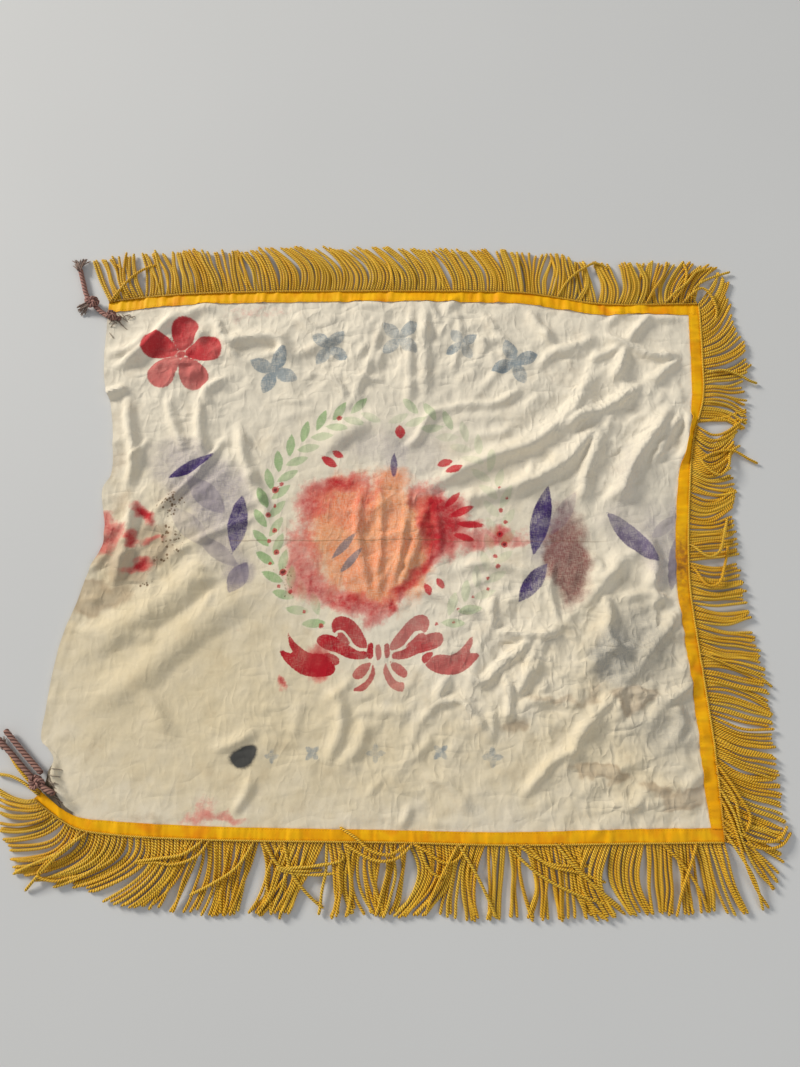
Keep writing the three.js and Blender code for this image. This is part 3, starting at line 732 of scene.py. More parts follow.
def cloth_height(x, y, cloth):
    """Height of the cloth's underside in millimetres at a place in the drawing plane, from
    the four nearest corners of the net."""
    net = height_net(cloth)
    gx = np.clip((x - NET_START[0]) / NET, 0, NET_COUNT[0] - 1.001)
    gy = np.clip((y - NET_START[1]) / NET, 0, NET_COUNT[1] - 1.001)
    i = gx.astype(int)
    j = gy.astype(int)
    fx = gx - i
    fy = gy - j
    low = net[j, i] * (1 - fx) + net[j, i + 1] * fx
    high = net[j + 1, i] * (1 - fx) + net[j + 1, i + 1] * fx
    return low * (1 - fy) + high * fy


def places_on_panel(u, right, v, low, high):
    """Places on a grid over the panel, in the drawing plane, rows by columns.

    Inside the ribbons it is the blend of left and right edges, plus the blend of bottom and
    top edges, less the flat blend of the corners. Under a ribbon, the shares right, low and
    high of the step from its inner edge to its outer edge are added.
    """
    left_edge = along(LEFT_EDGE, v)[:, None]
    right_inner = along(RIGHT_INNER, v)[:, None]
    right_outer = along(RIGHT_OUTER, v)[:, None]
    bottom_inner = along(BOTTOM_INNER, u)[None]
    bottom_outer = along(BOTTOM_OUTER, u)[None]
    top_inner = along(TOP_INNER, u)[None]
    top_outer = along(TOP_OUTER, u)[None]
    across = np.asarray(u)[None, :, None]
    upward = np.asarray(v)[:, None, None]
    sides = left_edge * (1 - across) + right_inner * across
    ends = bottom_inner * (1 - upward) + top_inner * upward
    low_corners = np.array(BOTTOM_INNER[0]) * (1 - across) + np.array(BOTTOM_INNER[-1]) * across
    high_corners = np.array(TOP_INNER[0]) * (1 - across) + np.array(TOP_INNER[-1]) * across
    inside = sides + ends - low_corners * (1 - upward) - high_corners * upward
    return (
        inside + np.asarray(right)[None, :, None] * (right_outer - right_inner)
        + np.asarray(low)[:, None, None] * (bottom_outer - bottom_inner)
        + np.asarray(high)[:, None, None] * (top_outer - top_inner)
    )


def panel_surface(u, right, v, low, high, cloth):
    """Underside of the cloth over a grid, in millimetres: the place on the panel with the
    cloth's height, which is less under the ribbons, whose weight holds the edge down."""
    place = places_on_panel(u, right, v, low, high)
    outside = np.maximum(
        np.clip(right, 0, 1)[None, :], np.clip(np.maximum(low, high), 0, 1)[:, None]
    )
    height = cloth_height(place[..., 0], place[..., 1], cloth)
    return np.dstack([place, height * (1 - (1 - EDGE_LIFT) * outside)])


def upward_normals(surface):
    """Unit vectors square to a grid surface, from the steps along its rows and columns."""
    normal = np.cross(np.gradient(surface, axis=1), np.gradient(surface, axis=0))
    return normal / np.linalg.norm(normal, axis=-1, keepdims=True)


# ---------------------------------------------------------------- meshes


def new_piece(name, points, faces, uvs, fields, finish, sharp_angle=None):
    """Object with one mesh. Points are millimetres in the drawing plane. Faces come as
    arrays with one row a face, and uvs as matching arrays with two numbers a corner."""
    mesh = bpy.data.meshes.new(name)
    corners = np.concatenate([block.ravel() for block in faces]).astype(np.int32)
    sizes = np.concatenate([np.full(len(block), block.shape[1]) for block in faces])
    starts = np.concatenate([[0], np.cumsum(sizes)[:-1]]).astype(np.int32)
    placed = points.reshape(-1, 3) + np.array([CENTRE[0], CENTRE[1], 0])
    mesh.vertices.add(len(placed))
    mesh.vertices.foreach_set("co", (placed * MM).astype(np.float32).ravel())
    mesh.loops.add(len(corners))
    mesh.loops.foreach_set("vertex_index", corners)
    mesh.polygons.add(len(starts))
    mesh.polygons.foreach_set("loop_start", starts)
    layer = mesh.uv_layers.new(name="lay")
    flat = np.concatenate([block.reshape(-1, 2) for block in uvs])
    layer.data.foreach_set("uv", flat.astype(np.float32).ravel())
    mesh.update(calc_edges=True)
    for key, values in fields.items():
        attribute = mesh.attributes.new(key, "FLOAT", "POINT")
        attribute.data.foreach_set("value", values.astype(np.float32).ravel())
    if mesh.validate():
        raise RuntimeError(f"{name} had faces that had to be mended")
    mesh.shade_smooth()
    if sharp_angle:
        mesh.set_sharp_from_angle(angle=sharp_angle)
    mesh.materials.append(finish)
    piece = bpy.data.objects.new(name, mesh)
    bpy.context.scene.collection.objects.link(piece)
    return piece


def shell(name, under, over, uv, fields, finish):
    """Closed sheet between a lower and an upper grid of points.

    The upper grid's cells face up and the lower grid's cells face down. The upper grid may
    be finer by a whole step. A rim of triangles runs round the four sides: one on each lower
    edge, to the middle of the upper ones, and one on each upper edge.
    """
    step = (len(over) - 1) // (len(under) - 1)
    fine = np.arange(over[..., 0].size).reshape(over.shape[:2])
    coarse = np.arange(under[..., 0].size).reshape(under.shape[:2]) + fine.size

    def cells(grid):
        return np.stack([grid[:-1, :-1], grid[:-1, 1:], grid[1:, 1:], grid[1:, :-1]], -1)

    def ring(grid):
        return np.concatenate([grid[0, :-1], grid[:-1, -1], grid[-1, :0:-1], grid[:0:-1, 0]])

    low, high = ring(coarse), ring(fine)
    k, j = np.arange(len(low)), np.arange(len(high))
    over_low_edge = high[(k * step + (step + 1) // 2) % len(high)]
    under_high_edge = low[(j + step // 2) // step % len(low)]
    faces = [
        cells(fine).reshape(-1, 4), cells(coarse)[..., ::-1].reshape(-1, 4),
        np.stack([low, np.roll(low, -1), over_low_edge], -1),
        np.stack([under_high_edge, np.roll(high, -1), high], -1),
    ]
    flat = np.concatenate([uv.reshape(-1, 2), uv[::step, ::step].reshape(-1, 2)])
    both = {
        key: np.concatenate([value.ravel(), value[::step, ::step].ravel()])
        for key, value in fields.items()
    }
    points = np.concatenate([over.reshape(-1, 3), under.reshape(-1, 3)])
    uvs = [flat[block] for block in faces]
    return new_piece(name, points, faces, uvs, both, finish, math.radians(50))


def lowered(surface, step):
    """Every step-th point of a grid, at the least height of the points round it, so that the
    coarser grid lies under the finer one."""
    height = np.pad(surface[..., 2], step - 1, "edge")
    rows, columns = surface.shape[:2]
    least = np.min([
        height[i:i + rows, j:j + columns]
        for i in range(2 * step - 1) for j in range(2 * step - 1)
    ], axis=0)
    return np.dstack([surface[..., :2], least])[::step, ::step]


def cords(name, paths, radius, lay, lobes, depth, sides, finish, draw, fray=0.5):
    """Closed twisted cords along paths, an array of cord by ring by three.

    The section is a circle whose radius dips by the share depth between its lobes. The lobes
    wind round once for each lay of length, over a tube that isn't twisted itself, and the
    section shrinks to round off both ends. Its two axes are the level direction square to
    the path, and the one square to both.
    """
    count, rings = paths.shape[:2]
    steps = np.linalg.norm(np.diff(paths, axis=1), axis=2)
    length = np.concatenate([np.zeros((count, 1)), np.cumsum(steps, axis=1)], axis=1)
    forward = np.gradient(paths, axis=1)
    forward /= np.linalg.norm(forward, axis=2, keepdims=True)
    level = np.cross(forward, [0.0, 0.0, 1.0])
    level /= np.linalg.norm(level, axis=2, keepdims=True)
    rising = np.cross(level, forward)
    spot = np.arange(sides) / sides * 2 * math.pi
    start = draw.uniform(0, 2 * math.pi, (count, 1))
    wound = spot - (2 * math.pi * length / lay + start)[..., None]
    size = np.ones(rings)
    size[[0, -1]] = fray
    size[[1, -2]] = 0.5 + 0.5 * fray + 0.12
    reach = radius * (1 - depth * (1 - np.abs(np.cos(lobes * wound / 2)))) * size[:, None]
    points = (
        paths[:, :, None] + (reach * np.cos(spot))[..., None] * level[:, :, None]
        + (reach * np.sin(spot))[..., None] * rising[:, :, None]
    )
    number = np.arange(count * rings * sides).reshape(count, rings, sides)
    beside = np.roll(number, -1, axis=2)
    wall = np.stack([number[:, :-1], number[:, 1:], beside[:, 1:], beside[:, :-1]], -1)
    v = np.broadcast_to((length / lay)[..., None], number.shape)
    u = wound / (2 * math.pi)
    u_beside = u + 1 / sides
    wall_uv = np.stack([
        np.stack([u[:, :-1], v[:, :-1]], -1), np.stack([u[:, 1:], v[:, 1:]], -1),
        np.stack([u_beside[:, 1:], v[:, 1:]], -1), np.stack([u_beside[:, :-1], v[:, :-1]], -1),
    ], -2)
    first = number[:, 0]
    last = number[:, -1, ::-1]
    faces = [wall.reshape(-1, 4), first, last]
    uvs = [wall_uv.reshape(-1, 4, 2), *(
        np.stack([np.zeros(ends.shape), np.zeros(ends.shape)], -1) for ends in (first, last)
    )]
    tint = np.broadcast_to(draw.uniform(0, 1, (count, 1, 1)), number.shape)
    run = np.broadcast_to(np.linspace(0, 1, rings)[:, None], number.shape)
    fields = {"tint": tint, "run": run}
    return new_piece(name, points, faces, uvs, fields, finish)


# ---------------------------------------------------------------- dyes and prints as fields


def blots(x, y, rows, seed, ragged=1.0):
    """Strength of soft patches, 0 to 1.

    Places are first pushed about by two random fields, which makes the edges ragged. A patch
    is strongest at its middle, half as strong at its drawn outline, and gone soon after.
    Patches combine as light through stacked filters does.
    """
    px = x + ragged * (7 * cloudy(x, y, 19, seed) + 3 * cloudy(x, y, 7, seed + 1))
    py = y + ragged * (7 * cloudy(x, y, 19, seed + 2) + 3 * cloudy(x, y, 7, seed + 3))
    clear = np.ones(x.shape)
    for cx, cy, half_width, half_height, turn, strength in rows:
        across, upward = turned(px - cx, py - cy, turn)
        away = np.hypot(across / half_width, upward / half_height)
        clear *= 1 - np.minimum(1, strength * np.exp(-0.7 * away**3))
    return 1 - clear


def petal(x, y, cx, cy, half_length, half_width, turn):
    """Distance inside a leaf shape, negative outside, in millimetres: one less the squared
    share of the half length and the share of the half width, over its steepness."""
    lengthways, across = turned(x - cx, y - cy, turn)
    inside = 1 - (lengthways / half_length) ** 2 - np.abs(across) / half_width
    steep = np.hypot(2 * lengthways / half_length**2, 1 / half_width)
    return inside / steep


def lobe(x, y, cx, cy, half_length, half_width, turn):
    """Distance inside an egg shape, wide at one end, negative outside, in millimetres."""
    lengthways, across = turned(x - cx, y - cy, turn)
    width = half_width * (0.80 + 0.32 * np.clip(lengthways / half_length, -1, 1))
    away = np.hypot(lengthways / half_length, across / width)
    return (1 - away) * half_width * 0.8


def outline_inside(x, y, points, smoothly=True):
    """Distance inside a closed outline, negative outside, in millimetres, or -20 far off.

    The outline is a smooth line through its points. A place is inside if a level line from
    it crosses the outline an odd number of times.
    """
    ring = np.array([*points, points[0]], float)
    line = along(ring, np.linspace(0, 1, 4 * len(points) + 1)) if smoothly else ring
    inside = np.full(x.shape, -20.0)
    low = line.min(0) - 8
    high = line.max(0) + 8
    near = (x > low[0]) & (x < high[0]) & (y > low[1]) & (y < high[1])
    px = x[near]
    py = y[near]
    away, _ = nearest_on(px, py, line)
    odd = np.zeros(px.shape, bool)
    for (ax, ay), (bx, by) in zip(line[:-1], line[1:]):
        if ay != by:
            meets = ((ay > py) != (by > py)) & (px < ax + (py - ay) * (bx - ax) / (by - ay))
            odd ^= meets
    inside[near] = np.where(odd, 1, -1) * np.abs(away)
    return inside


def strongest(shapes):
    """Union of shapes: the greatest inside distance, and the strength of the shape it is in."""
    best = np.full(shapes[0][0].shape, -20.0)
    power = np.zeros(best.shape)
    for inside, strength in shapes:
        power = np.where(inside > best, strength, power)
        best = np.maximum(best, inside)
    return best, power


def four_petals(x, y, cx, cy, size, turn, lengthways, across):
    """Four leaf shapes round a point, as (inside distance, strength) pairs: two strong ones
    on one diagonal and two on the other."""
    out = 0.27 * size
    shapes = []
    for k in range(4):
        angle = turn + 45 + 90 * k
        px = cx + out * math.cos(math.radians(angle))
        py = cy + out * math.sin(math.radians(angle))
        inside = petal(x, y, px, py, 0.27 * size, 0.15 * size, angle)
        shapes.append((inside, across if k % 2 else lengthways))
    return shapes


def wreath(x, y):
    """Leaves in pairs on a ring: at each station one leaf points out and one in, both
    towards the top. Those on the left are stronger than those on the right."""
    cx, cy = WREATH_CENTRE
    shapes = []
    for side in (1, -1):
        for k in range(LEAF_STATIONS // 2):
            angle = 90 + side * (10 + 9.6 * k)
            strength = 1.0 if side > 0 else (0.6 if k < 3 or k > 12 else 0.3)
            for outward in (1, -1):
                radius = WREATH_RADIUS + 9 * outward
                px = cx + radius * math.cos(math.radians(angle + 2.5 * outward * side))
                py = cy + radius * math.sin(math.radians(angle + 2.5 * outward * side))
                pointing = angle - side * 90 + side * 38 * outward
                inside = petal(x, y, px, py, 14.5, 5.3, pointing)
                shapes.append((inside, strength * (1 if outward > 0 else 0.72)))
    return strongest(shapes)


def berries(x, y):
    """Inside distance of the round berries."""
    best = np.full(x.shape, -20.0)
    for cx, cy, radius in BERRIES:
        best = np.maximum(best, radius - np.hypot(x - cx, y - cy))
    return best


def blossom(x, y):
    """Five broad petals round a point, with gaps between them, as a field of strength."""
    cx, cy, reach, turn = BLOSSOM
    shapes = []
    for k in range(5):
        angle = turn + 72 * k
        px = cx + 0.58 * reach * math.cos(math.radians(angle))
        py = cy + 0.58 * reach * math.sin(math.radians(angle))
        fade = 0.84 if 3 <= k else 1.0
        shapes.append((lobe(x, y, px, py, 0.48 * reach, 0.41 * reach, angle), fade))
    shapes.append((5.0 - np.hypot(x - cx, y - cy), 0.95))
    return strongest(shapes)


def cloth_fields(x, y):
    """Every field that the cotton's finish reads, at places in the drawing plane."""
    slate = []
    for row in GREY_MOTIFS:
        slate += four_petals(x, y, *row)
    leaves = {
        "violet_print": VIOLET_LEAVES, "ash": ASH_LEAVES,
        "rays": [(*row, 1.0) for row in RAY_TIPS],
    }
    shapes = {
        key: strongest([(petal(x, y, *row[:5]), row[5]) for row in rows])
        for key, rows in leaves.items()
    }
    shapes["slate"] = strongest(slate)
    shapes["blossom"] = blossom(x, y)
    shapes["leaves"] = wreath(x, y)
    for group in range(3):
        shapes[f"bow_{group}"] = strongest([
            (outline_inside(x, y, points), strength)
            for number, strength, points in BOW if number == group
        ])
    fields = {}
    for key, (inside, power) in shapes.items():
        fields[key] = inside
        fields[key + "_power"] = power
    fields["berries"] = berries(x, y)
    tables = {
        "crimson": CRIMSON, "orange": ORANGE, "violet": VIOLET, "mauve": MAUVE,
        "brown": BROWN, "grey": GREY, "ink": INK, "speckled": SPECKLED,
        "leaf_fade": LEAF_FADE, "ember": EMBER,
    }
    for seed, (key, rows) in enumerate(tables.items()):
        fields[key] = blots(x, y, rows, 40 + 5 * seed, INK_RAGGED if key == "ink" else 1.0)
    fields["aged"] = blots(x, y, YELLOW, 95, 3.0)
    fields["corner_shade_and_dirt"] = outline_inside(x, y, TURNED_CORNER_SHADE_AND_DIRT)
    fields["crumple"] = crumpled(x, y)
    return fields

# ---------------------------------------------------------------- finishes


class Link:
    """A node's output that can stand in a formula with numbers and other outputs."""

    def __init__(self, board, socket):
        self.board = board
        self.socket = socket

    def maths(self, operation, *values):
        return self.board.node("ShaderNodeMath", values, operation=operation)

    def __add__(self, other):
        return self.maths("ADD", self, other)

    def __sub__(self, other):
        return self.maths("SUBTRACT", self, other)

    def __rsub__(self, other):
        return self.maths("SUBTRACT", other, self)

    def __mul__(self, other):
        return self.maths("MULTIPLY", self, other)

    def __neg__(self):
        return self.maths("MULTIPLY", self, -1.0)

    def __abs__(self):
        return self.maths("ABSOLUTE", self)

    __radd__ = __add__
    __rmul__ = __mul__

    def cos(self):
        return self.maths("COSINE", self)

    def sin(self):
        return self.maths("SINE", self)

    def least(self, other):
        return self.maths("MINIMUM", self, other)

    def rise(self, low, high):
        """0 below low, 1 above high, and a smooth rise between; a fall if low is higher."""
        return self.board.node(
            "ShaderNodeMapRange", [self, low, high, 0.0, 1.0],
            data_type="FLOAT", interpolation_type="SMOOTHSTEP",
        )


class Board:
    """The nodes of one material. Its lengths are millimetres in the drawing plane."""

    def __init__(self, name, roughness, sheen=0.0, specular=0.5):
        self.material = bpy.data.materials.new(name)
        self.material.use_nodes = True
        self.tree = self.material.node_tree
        self.shader = self.tree.nodes["Principled BSDF"]
        self.shader.inputs["Roughness"].default_value = roughness
        self.shader.inputs["Sheen Weight"].default_value = sheen
        self.shader.inputs["Specular IOR Level"].default_value = specular

    def node(self, kind, values=(), out=0, **settings):
        """One node: its settings are made first, then its sockets get values or links."""
        made = self.tree.nodes.new(kind)
        for key, value in settings.items():
            setattr(made, key, value)
        pairs = values.items() if isinstance(values, dict) else enumerate(values)
        for key, value in pairs:
            if isinstance(value, Link):
                self.tree.links.new(value.socket, made.inputs[key])
            elif value is not None:
                made.inputs[key].default_value = value
        if isinstance(out, tuple):
            return tuple(Link(self, made.outputs[k]) for k in out)
        return Link(self, made.outputs[out])

    def place(self):
        """Object coordinates, turned into millimetres in the drawing plane."""
        coordinates = self.node("ShaderNodeTexCoord", out=3)
        shift = (-CENTRE[0], -CENTRE[1], 0.0)
        return self.node(
            "ShaderNodeMapping",
            {"Vector": coordinates, "Location": shift, "Scale": (1 / MM, 1 / MM, 1 / MM)},
        )

    def lay(self):
        """The piece's own flat coordinates, as two numbers and as a vector."""
        flat = self.node("ShaderNodeUVMap", uv_map="lay")
        u, v = self.node("ShaderNodeSeparateXYZ", [flat], out=(0, 1))
        return u, v, flat

    def field(self, name):
        return self.node("ShaderNodeAttribute", out=2, attribute_name=name)

    def noise(self, vector, size, detail=2.0, roughness=0.5, distortion=0.0):
        """Cloudy pattern from about 0.2 to 0.8 whose patches are of the given size."""
        return self.node("ShaderNodeTexNoise", {
            "Vector": vector, "Scale": 1 / size, "Detail": detail,
            "Roughness": roughness, "Distortion": distortion,
        })

    def stretched(self, vector, scale, turn=0.0):
        """Vector scaled along its axes and turned about the upright one."""
        return self.node("ShaderNodeMapping", {
            "Vector": vector, "Scale": scale, "Rotation": (0.0, 0.0, math.radians(turn)),
        })

    def mix(self, factor, first, second, blend="MIX"):
        first, second = (
            c if isinstance(c, Link) else (*tuple(c)[:3], 1.0) for c in (first, second)
        )
        return self.node(
            "ShaderNodeMix", {0: factor, 6: first, 7: second}, out=2,
            data_type="RGBA", blend_type=blend,
        )

    def finish(self, colour, height, distance, strength=1.0, roughness=None):
        """Joins the colour, and a bump of the given height in metres, to the shader."""
        self.tree.links.new(colour.socket, self.shader.inputs["Base Color"])
        bump = self.node("ShaderNodeBump", {
            "Height": height, "Distance": distance, "Strength": strength,
        })
        self.tree.links.new(bump.socket, self.shader.inputs["Normal"])
        if roughness is not None:
            self.tree.links.new(roughness.socket, self.shader.inputs["Roughness"])
        return self.material


def dimmed(colour, share):
    return tuple(share * c for c in tuple(colour)[:3])


def cotton_finish(colours):
    """Plain-woven cotton with its yellowing, water marks, run dyes and worn prints."""
    board = Board("creased_cotton", roughness=0.9, sheen=0.08, specular=0.15)
    place = board.place()
    u, v, _ = board.lay()
    mottle = board.noise(place, 38, 4.0, 0.6)
    grain = board.noise(place, 3.2, 3.0, 0.65)
    ragged = board.noise(place, 7, 4.0, 0.7)
    edge = board.noise(place, 2.4, 2.0, 0.5)
    threads = board.noise(board.stretched(place, (3.0, 0.28, 1.0), 4), 1.6, 2.0, 0.6)
    picks = board.noise(board.stretched(place, (0.28, 3.0, 1.0), 4), 1.6, 2.0, 0.6)

    # Yellowing and general dirt
    aged = (board.field("aged") * 0.85 + (mottle - 0.5) * 0.55).rise(0.0, 1.0)
    cloth = board.mix(aged, colours.cotton, colours.aged)
    dirt = mottle.rise(0.52, 0.8) * 0.16 + grain.rise(0.45, 0.9) * 0.10
    cloth = board.mix(dirt, cloth, dimmed(colours.brown, 1.2))

    # Water marks: a pale inside with a darker tide line
    tide = board.field("brown") + (ragged - 0.5) * 0.35
    ring = tide.rise(0.08, 0.50) * (1 - 0.30 * tide.rise(0.50, 0.85))
    cloth = board.mix(ring * 0.46, cloth, colours.brown)
    damp = (board.field("grey") + (mottle - 0.5) * 0.3).rise(0.05, 0.95)
    streak = (threads + picks).rise(0.75, 1.2)
    cloth = board.mix(damp * (0.40 + 0.30 * streak), cloth, (0.26, 0.27, 0.27))
    wash = (board.field("violet") + (ragged - 0.5) * 0.35).rise(0.08, 0.85)
    cloth = board.mix(wash * (0.34 + 0.30 * streak), cloth, (0.19, 0.16, 0.26))
    mauve = (board.field("mauve") + (ragged - 0.5) * 0.5).rise(0.12, 0.8)
    cloth = board.mix(mauve * (0.66 + 0.30 * streak), cloth, (0.23, 0.075, 0.065))

    # Orange disc and the red dye that has run round it
    disc = (board.field("orange") + (ragged - 0.5) * 0.6).rise(0.12, 0.80)
    orange = board.mix(mottle.rise(0.35, 0.65) * 0.5, colours.orange, (0.87, 0.38, 0.13))
    thick = (board.field("ember") + (ragged - 0.5) * 0.4).rise(0.15, 0.85) * 0.8
    orange = board.mix(thick, orange, (0.84, 0.135, 0.022))
    cloth = board.mix(disc * (0.95 - 0.40 * streak), cloth, orange)
    red = board.field("crimson") + (ragged - 0.5) * 0.75 + (edge - 0.5) * 0.25
    cloth = board.mix(red.rise(0.10, 0.60) * 0.62, cloth, (0.70, 0.085, 0.085))
    deep = red.rise(0.50, 1.10) * (0.95 - 0.35 * mottle.rise(0.45, 0.75))
    cloth = board.mix(deep, cloth, colours.crimson)

    # Printed shapes, worn where the weave stands proud
    worn = (threads * 0.5 + picks * 0.5 + (mottle - 0.5) * 0.8)

    def printed(under, key, colour, soft, cover, wear, grown=0.0):
        inside = board.field(key) + (edge - 0.5) * 1.6 + grown
        mask = inside.rise(-soft, soft)
        ink = board.field(key + "_power") * cover * (1 - wear * worn.rise(0.40, 0.68))
        return board.mix(mask * ink, under, colour)

    fade = 1 - board.field("leaf_fade").least(1.0) * 0.9
    inside = board.field("leaves") + (edge - 0.5) * 1.4
    halo = inside.rise(-2.6, -0.6) * fade
    cloth = board.mix(halo * board.field("leaves_power") * 0.35, cloth, colours.cotton)
    leaf = inside.rise(-0.5, 0.9) * board.field("leaves_power") * fade
    leaf = leaf * (1 - 0.35 * worn.rise(0.4, 0.7))
    cloth = board.mix(leaf * 0.80, cloth, colours.leaf)
    cloth = printed(cloth, "slate", colours.slate, 0.9, 0.95, 0.62)
    purple = board.mix(mottle.rise(0.35, 0.65), colours.violet, (0.10, 0.075, 0.20))
    cloth = printed(cloth, "violet_print", purple, 0.8, 1.0, 0.50)
    cloth = printed(cloth, "blossom", dimmed(colours.crimson, 1.05), 0.8, 0.96, 0.12)
    cloth = printed(cloth, "rays", dimmed(colours.crimson, 1.1), 0.8, 0.95, 0.2)
    for group in range(3):
        cloth = printed(cloth, f"bow_{group}", dimmed(colours.crimson, 0.88), 0.6, 1.0, 0.22, 0.65)
    cloth = printed(cloth, "ash", (0.20, 0.19, 0.21), 0.7, 0.85, 0.5)
    berry = board.field("berries") + (edge - 0.5) * 2.0
    cloth = board.mix(berry.rise(-0.8, 0.4) * 0.8, cloth, colours.crimson)
    cloth = board.mix(berry.rise(0.9, 2.2) * 0.8, cloth, (0.10, 0.006, 0.012))

    # Ink, rust specks, painted shade with some dirt where the cloth turns under at the lower corner, and the
    # pressed lines
    ink = (board.field("ink") + (edge - 0.5) * 0.25).rise(0.08, 0.62)
    cloth = board.mix(ink * 0.94, cloth, (0.028, 0.034, 0.042))
    dots = board.node("ShaderNodeTexVoronoi", {"Vector": place, "Scale": 0.24})
    speck = dots.rise(0.42, 0.28) * (board.field("speckled") + (grain - 0.5)).rise(0.35, 0.6)
    cloth = board.mix(speck * 0.75, cloth, (0.13, 0.055, 0.012))
    # Painted shade with some dirt: dark olive where the cloth's corner turns under
    corner_shade_and_dirt = (board.field("corner_shade_and_dirt") + (edge - 0.5) * 1.5).rise(-0.5, 0.8)
    cloth = board.mix(corner_shade_and_dirt * 0.88, cloth, (0.085, 0.06, 0.032))
    x, y = board.node("ShaderNodeSeparateXYZ", [place], out=(0, 1))
    for low, high, level, strength in PRESSED_LINES:
        line = abs(y - level + (mottle - 0.5) * 6.0).rise(1.1, 0.2)
        line = line * x.rise(low, low + 20) * x.rise(high, high - 20)
        cloth = board.mix(line * strength, cloth, dimmed(colours.brown, 0.7))

    # Creases too small for the mesh: sharp lines, with wide flanks, where a random field
    # crosses its mean
    crumple = board.field("crumple")
    crackle = board.noise(board.stretched(place, (1.0, 0.55, 1.0), 40), 12, 1.5, 0.45, 0.3)
    pinch = board.noise(board.stretched(place, (0.5, 1.0, 1.0), -25), 22, 1.5, 0.45, 0.4)
    sharp = -abs(crackle - 0.5) * (1.5 + 4.2 * crumple)
    long_crease = abs(pinch - 0.5) * (2.4 + 6.4 * crumple)
    weave = (u * 5200.0).sin() * 0.5 + (v * 5200.0).sin() * 0.5
    height = weave * 0.03 + grain * 0.14 + sharp + long_crease
    return board.finish(cloth, height, 0.9 * MM, 1.0)


def ribbon_finish(colours):
    """Fine-ribbed silk tape: ribs run across it, with paler and deeper patches, painted shade
    in narrow bands across it for its small cross folds, orange stains and dirt."""
    board = Board("ribbed_silk_tape", roughness=0.55, sheen=0.0, specular=0.15)
    place = board.place()
    u, v, flat = board.lay()
    patch = board.noise(place, 26, 3.0, 0.6)
    fine = board.noise(place, 5, 3.0, 0.6)
    tape = board.mix(patch.rise(0.35, 0.65) * 0.7, colours.ribbon, (1.0, 0.56, 0.006))
    rust = board.noise(place, 44, 2.0, 0.5, 0.5).rise(0.55, 0.72)
    tape = board.mix(rust * 0.6, tape, (0.85, 0.23, 0.004))
    soil = board.field("soil") * (0.55 + (fine - 0.5) * 1.6) + fine.rise(0.62, 0.85) * 0.12
    tape = board.mix(soil.rise(0.0, 1.0), tape, (0.40, 0.16, 0.02))
    # Painted shade: deeper orange bands a few millimetres apart across the tape, for its small cross folds
    cross_fold_shade = board.noise(board.stretched(flat, (140.0, 0.7, 1.0)), 1.0, 2.0, 0.5)
    tape = board.mix(cross_fold_shade.rise(0.52, 0.72) * 0.38, tape, (0.78, 0.29, 0.002))
    rib = (u * 5900.0).sin()
    edges = abs(v - 0.5).rise(0.44, 0.485)
    stitches = abs(abs(v - 0.5) - 0.40).rise(0.022, 0.008) * (u * 2100.0).sin().rise(-0.2, 0.2)
    tape = board.mix(stitches * 0.45 + edges * 0.30, tape, (0.55, 0.22, 0.005))
    height = rib * 0.12 + fine * 0.3 - stitches * 0.5
    return board.finish(tape, height, 0.5 * MM, 0.7)


def strand_finish(name, light, dark, tint_to, lobes, yarns, roughness, spread=0.6):
    """Twisted cord: painted shade in the grooves between the plies, with fine slanting yarns,
    its own tint for each strand, and painted shade with some dirt at its root."""
    board = Board(name, roughness=roughness, sheen=0.0, specular=0.3)
    place = board.place()
    u, v, _ = board.lay()
    across = abs((u * (math.pi * lobes)).cos())
    groove = across.rise(0.14, 0.80)
    fibre = ((u * float(yarns) + v * 3.0) * (2 * math.pi)).sin() * 0.5 + 0.5
    tint = board.field("tint")
    patch = board.noise(place, 30, 2.0, 0.5)
    strand = board.mix(tint * spread, light, tint_to)
    strand = board.mix(patch.rise(0.45, 0.75) * 0.35, strand, dimmed(light, 0.75))
    # Painted shade: darker in the grooves between the plies
    strand = board.mix((1 - groove) * 0.96, strand, dark)
    strand = board.mix(fibre * 0.12, strand, dark)
    # Painted shade with some dirt: darker near the strand's root
    root = board.field("run").rise(0.10, 0.0)
    strand = board.mix(root * 0.5, strand, dark)
    height = groove * 0.8 + fibre * 0.25
    return board.finish(strand, height, 0.5 * MM, 0.8)


def thread_finish(colours):
    """Waxed sewing thread with a fine twist."""
    board = Board("waxed_thread", roughness=0.6, sheen=0.1, specular=0.4)
    u, v, _ = board.lay()
    twist = ((u * 2.0 + v * 1.0) * (2 * math.pi)).sin() * 0.5 + 0.5
    tint = board.field("tint")
    thread = board.mix(tint * 0.8, colours.thread, (0.50, 0.42, 0.32))
    thread = board.mix(twist * 0.4, thread, dimmed(colours.thread, 0.5))
    return board.finish(thread, twist, 0.2 * MM, 0.8)


def floor_finish():
    """Plain pale floor."""
    board = Board("pale_floor", roughness=0.7, specular=0.2)
    place = board.place()
    tone = board.noise(place, 500, 2.0, 0.5)
    colour = board.mix(tone, (0.66, 0.66, 0.65), (0.70, 0.70, 0.69))
    return board.finish(colour, tone, 0.01 * MM, 0.1)


# ---------------------------------------------------------------- pieces


def grid_lines(inner_steps, border, sides):
    """Shares along one direction of the panel, and how far each line lies across the border
    on each of its sides: a border of steps before and after the inner shares."""
    inner = np.linspace(0, 1, inner_steps + 1)
    share = np.linspace(0, 1, border + 1)[1:]
    before = share[::-1] if sides == 2 else np.zeros(0)
    zeros = np.zeros(len(inner))
    places = np.concatenate([np.zeros(len(before)), inner, np.ones(border)])
    low = np.concatenate([before, zeros, np.zeros(border)])
    high = np.concatenate([np.zeros(len(before)), zeros, share])
    return places, low, high


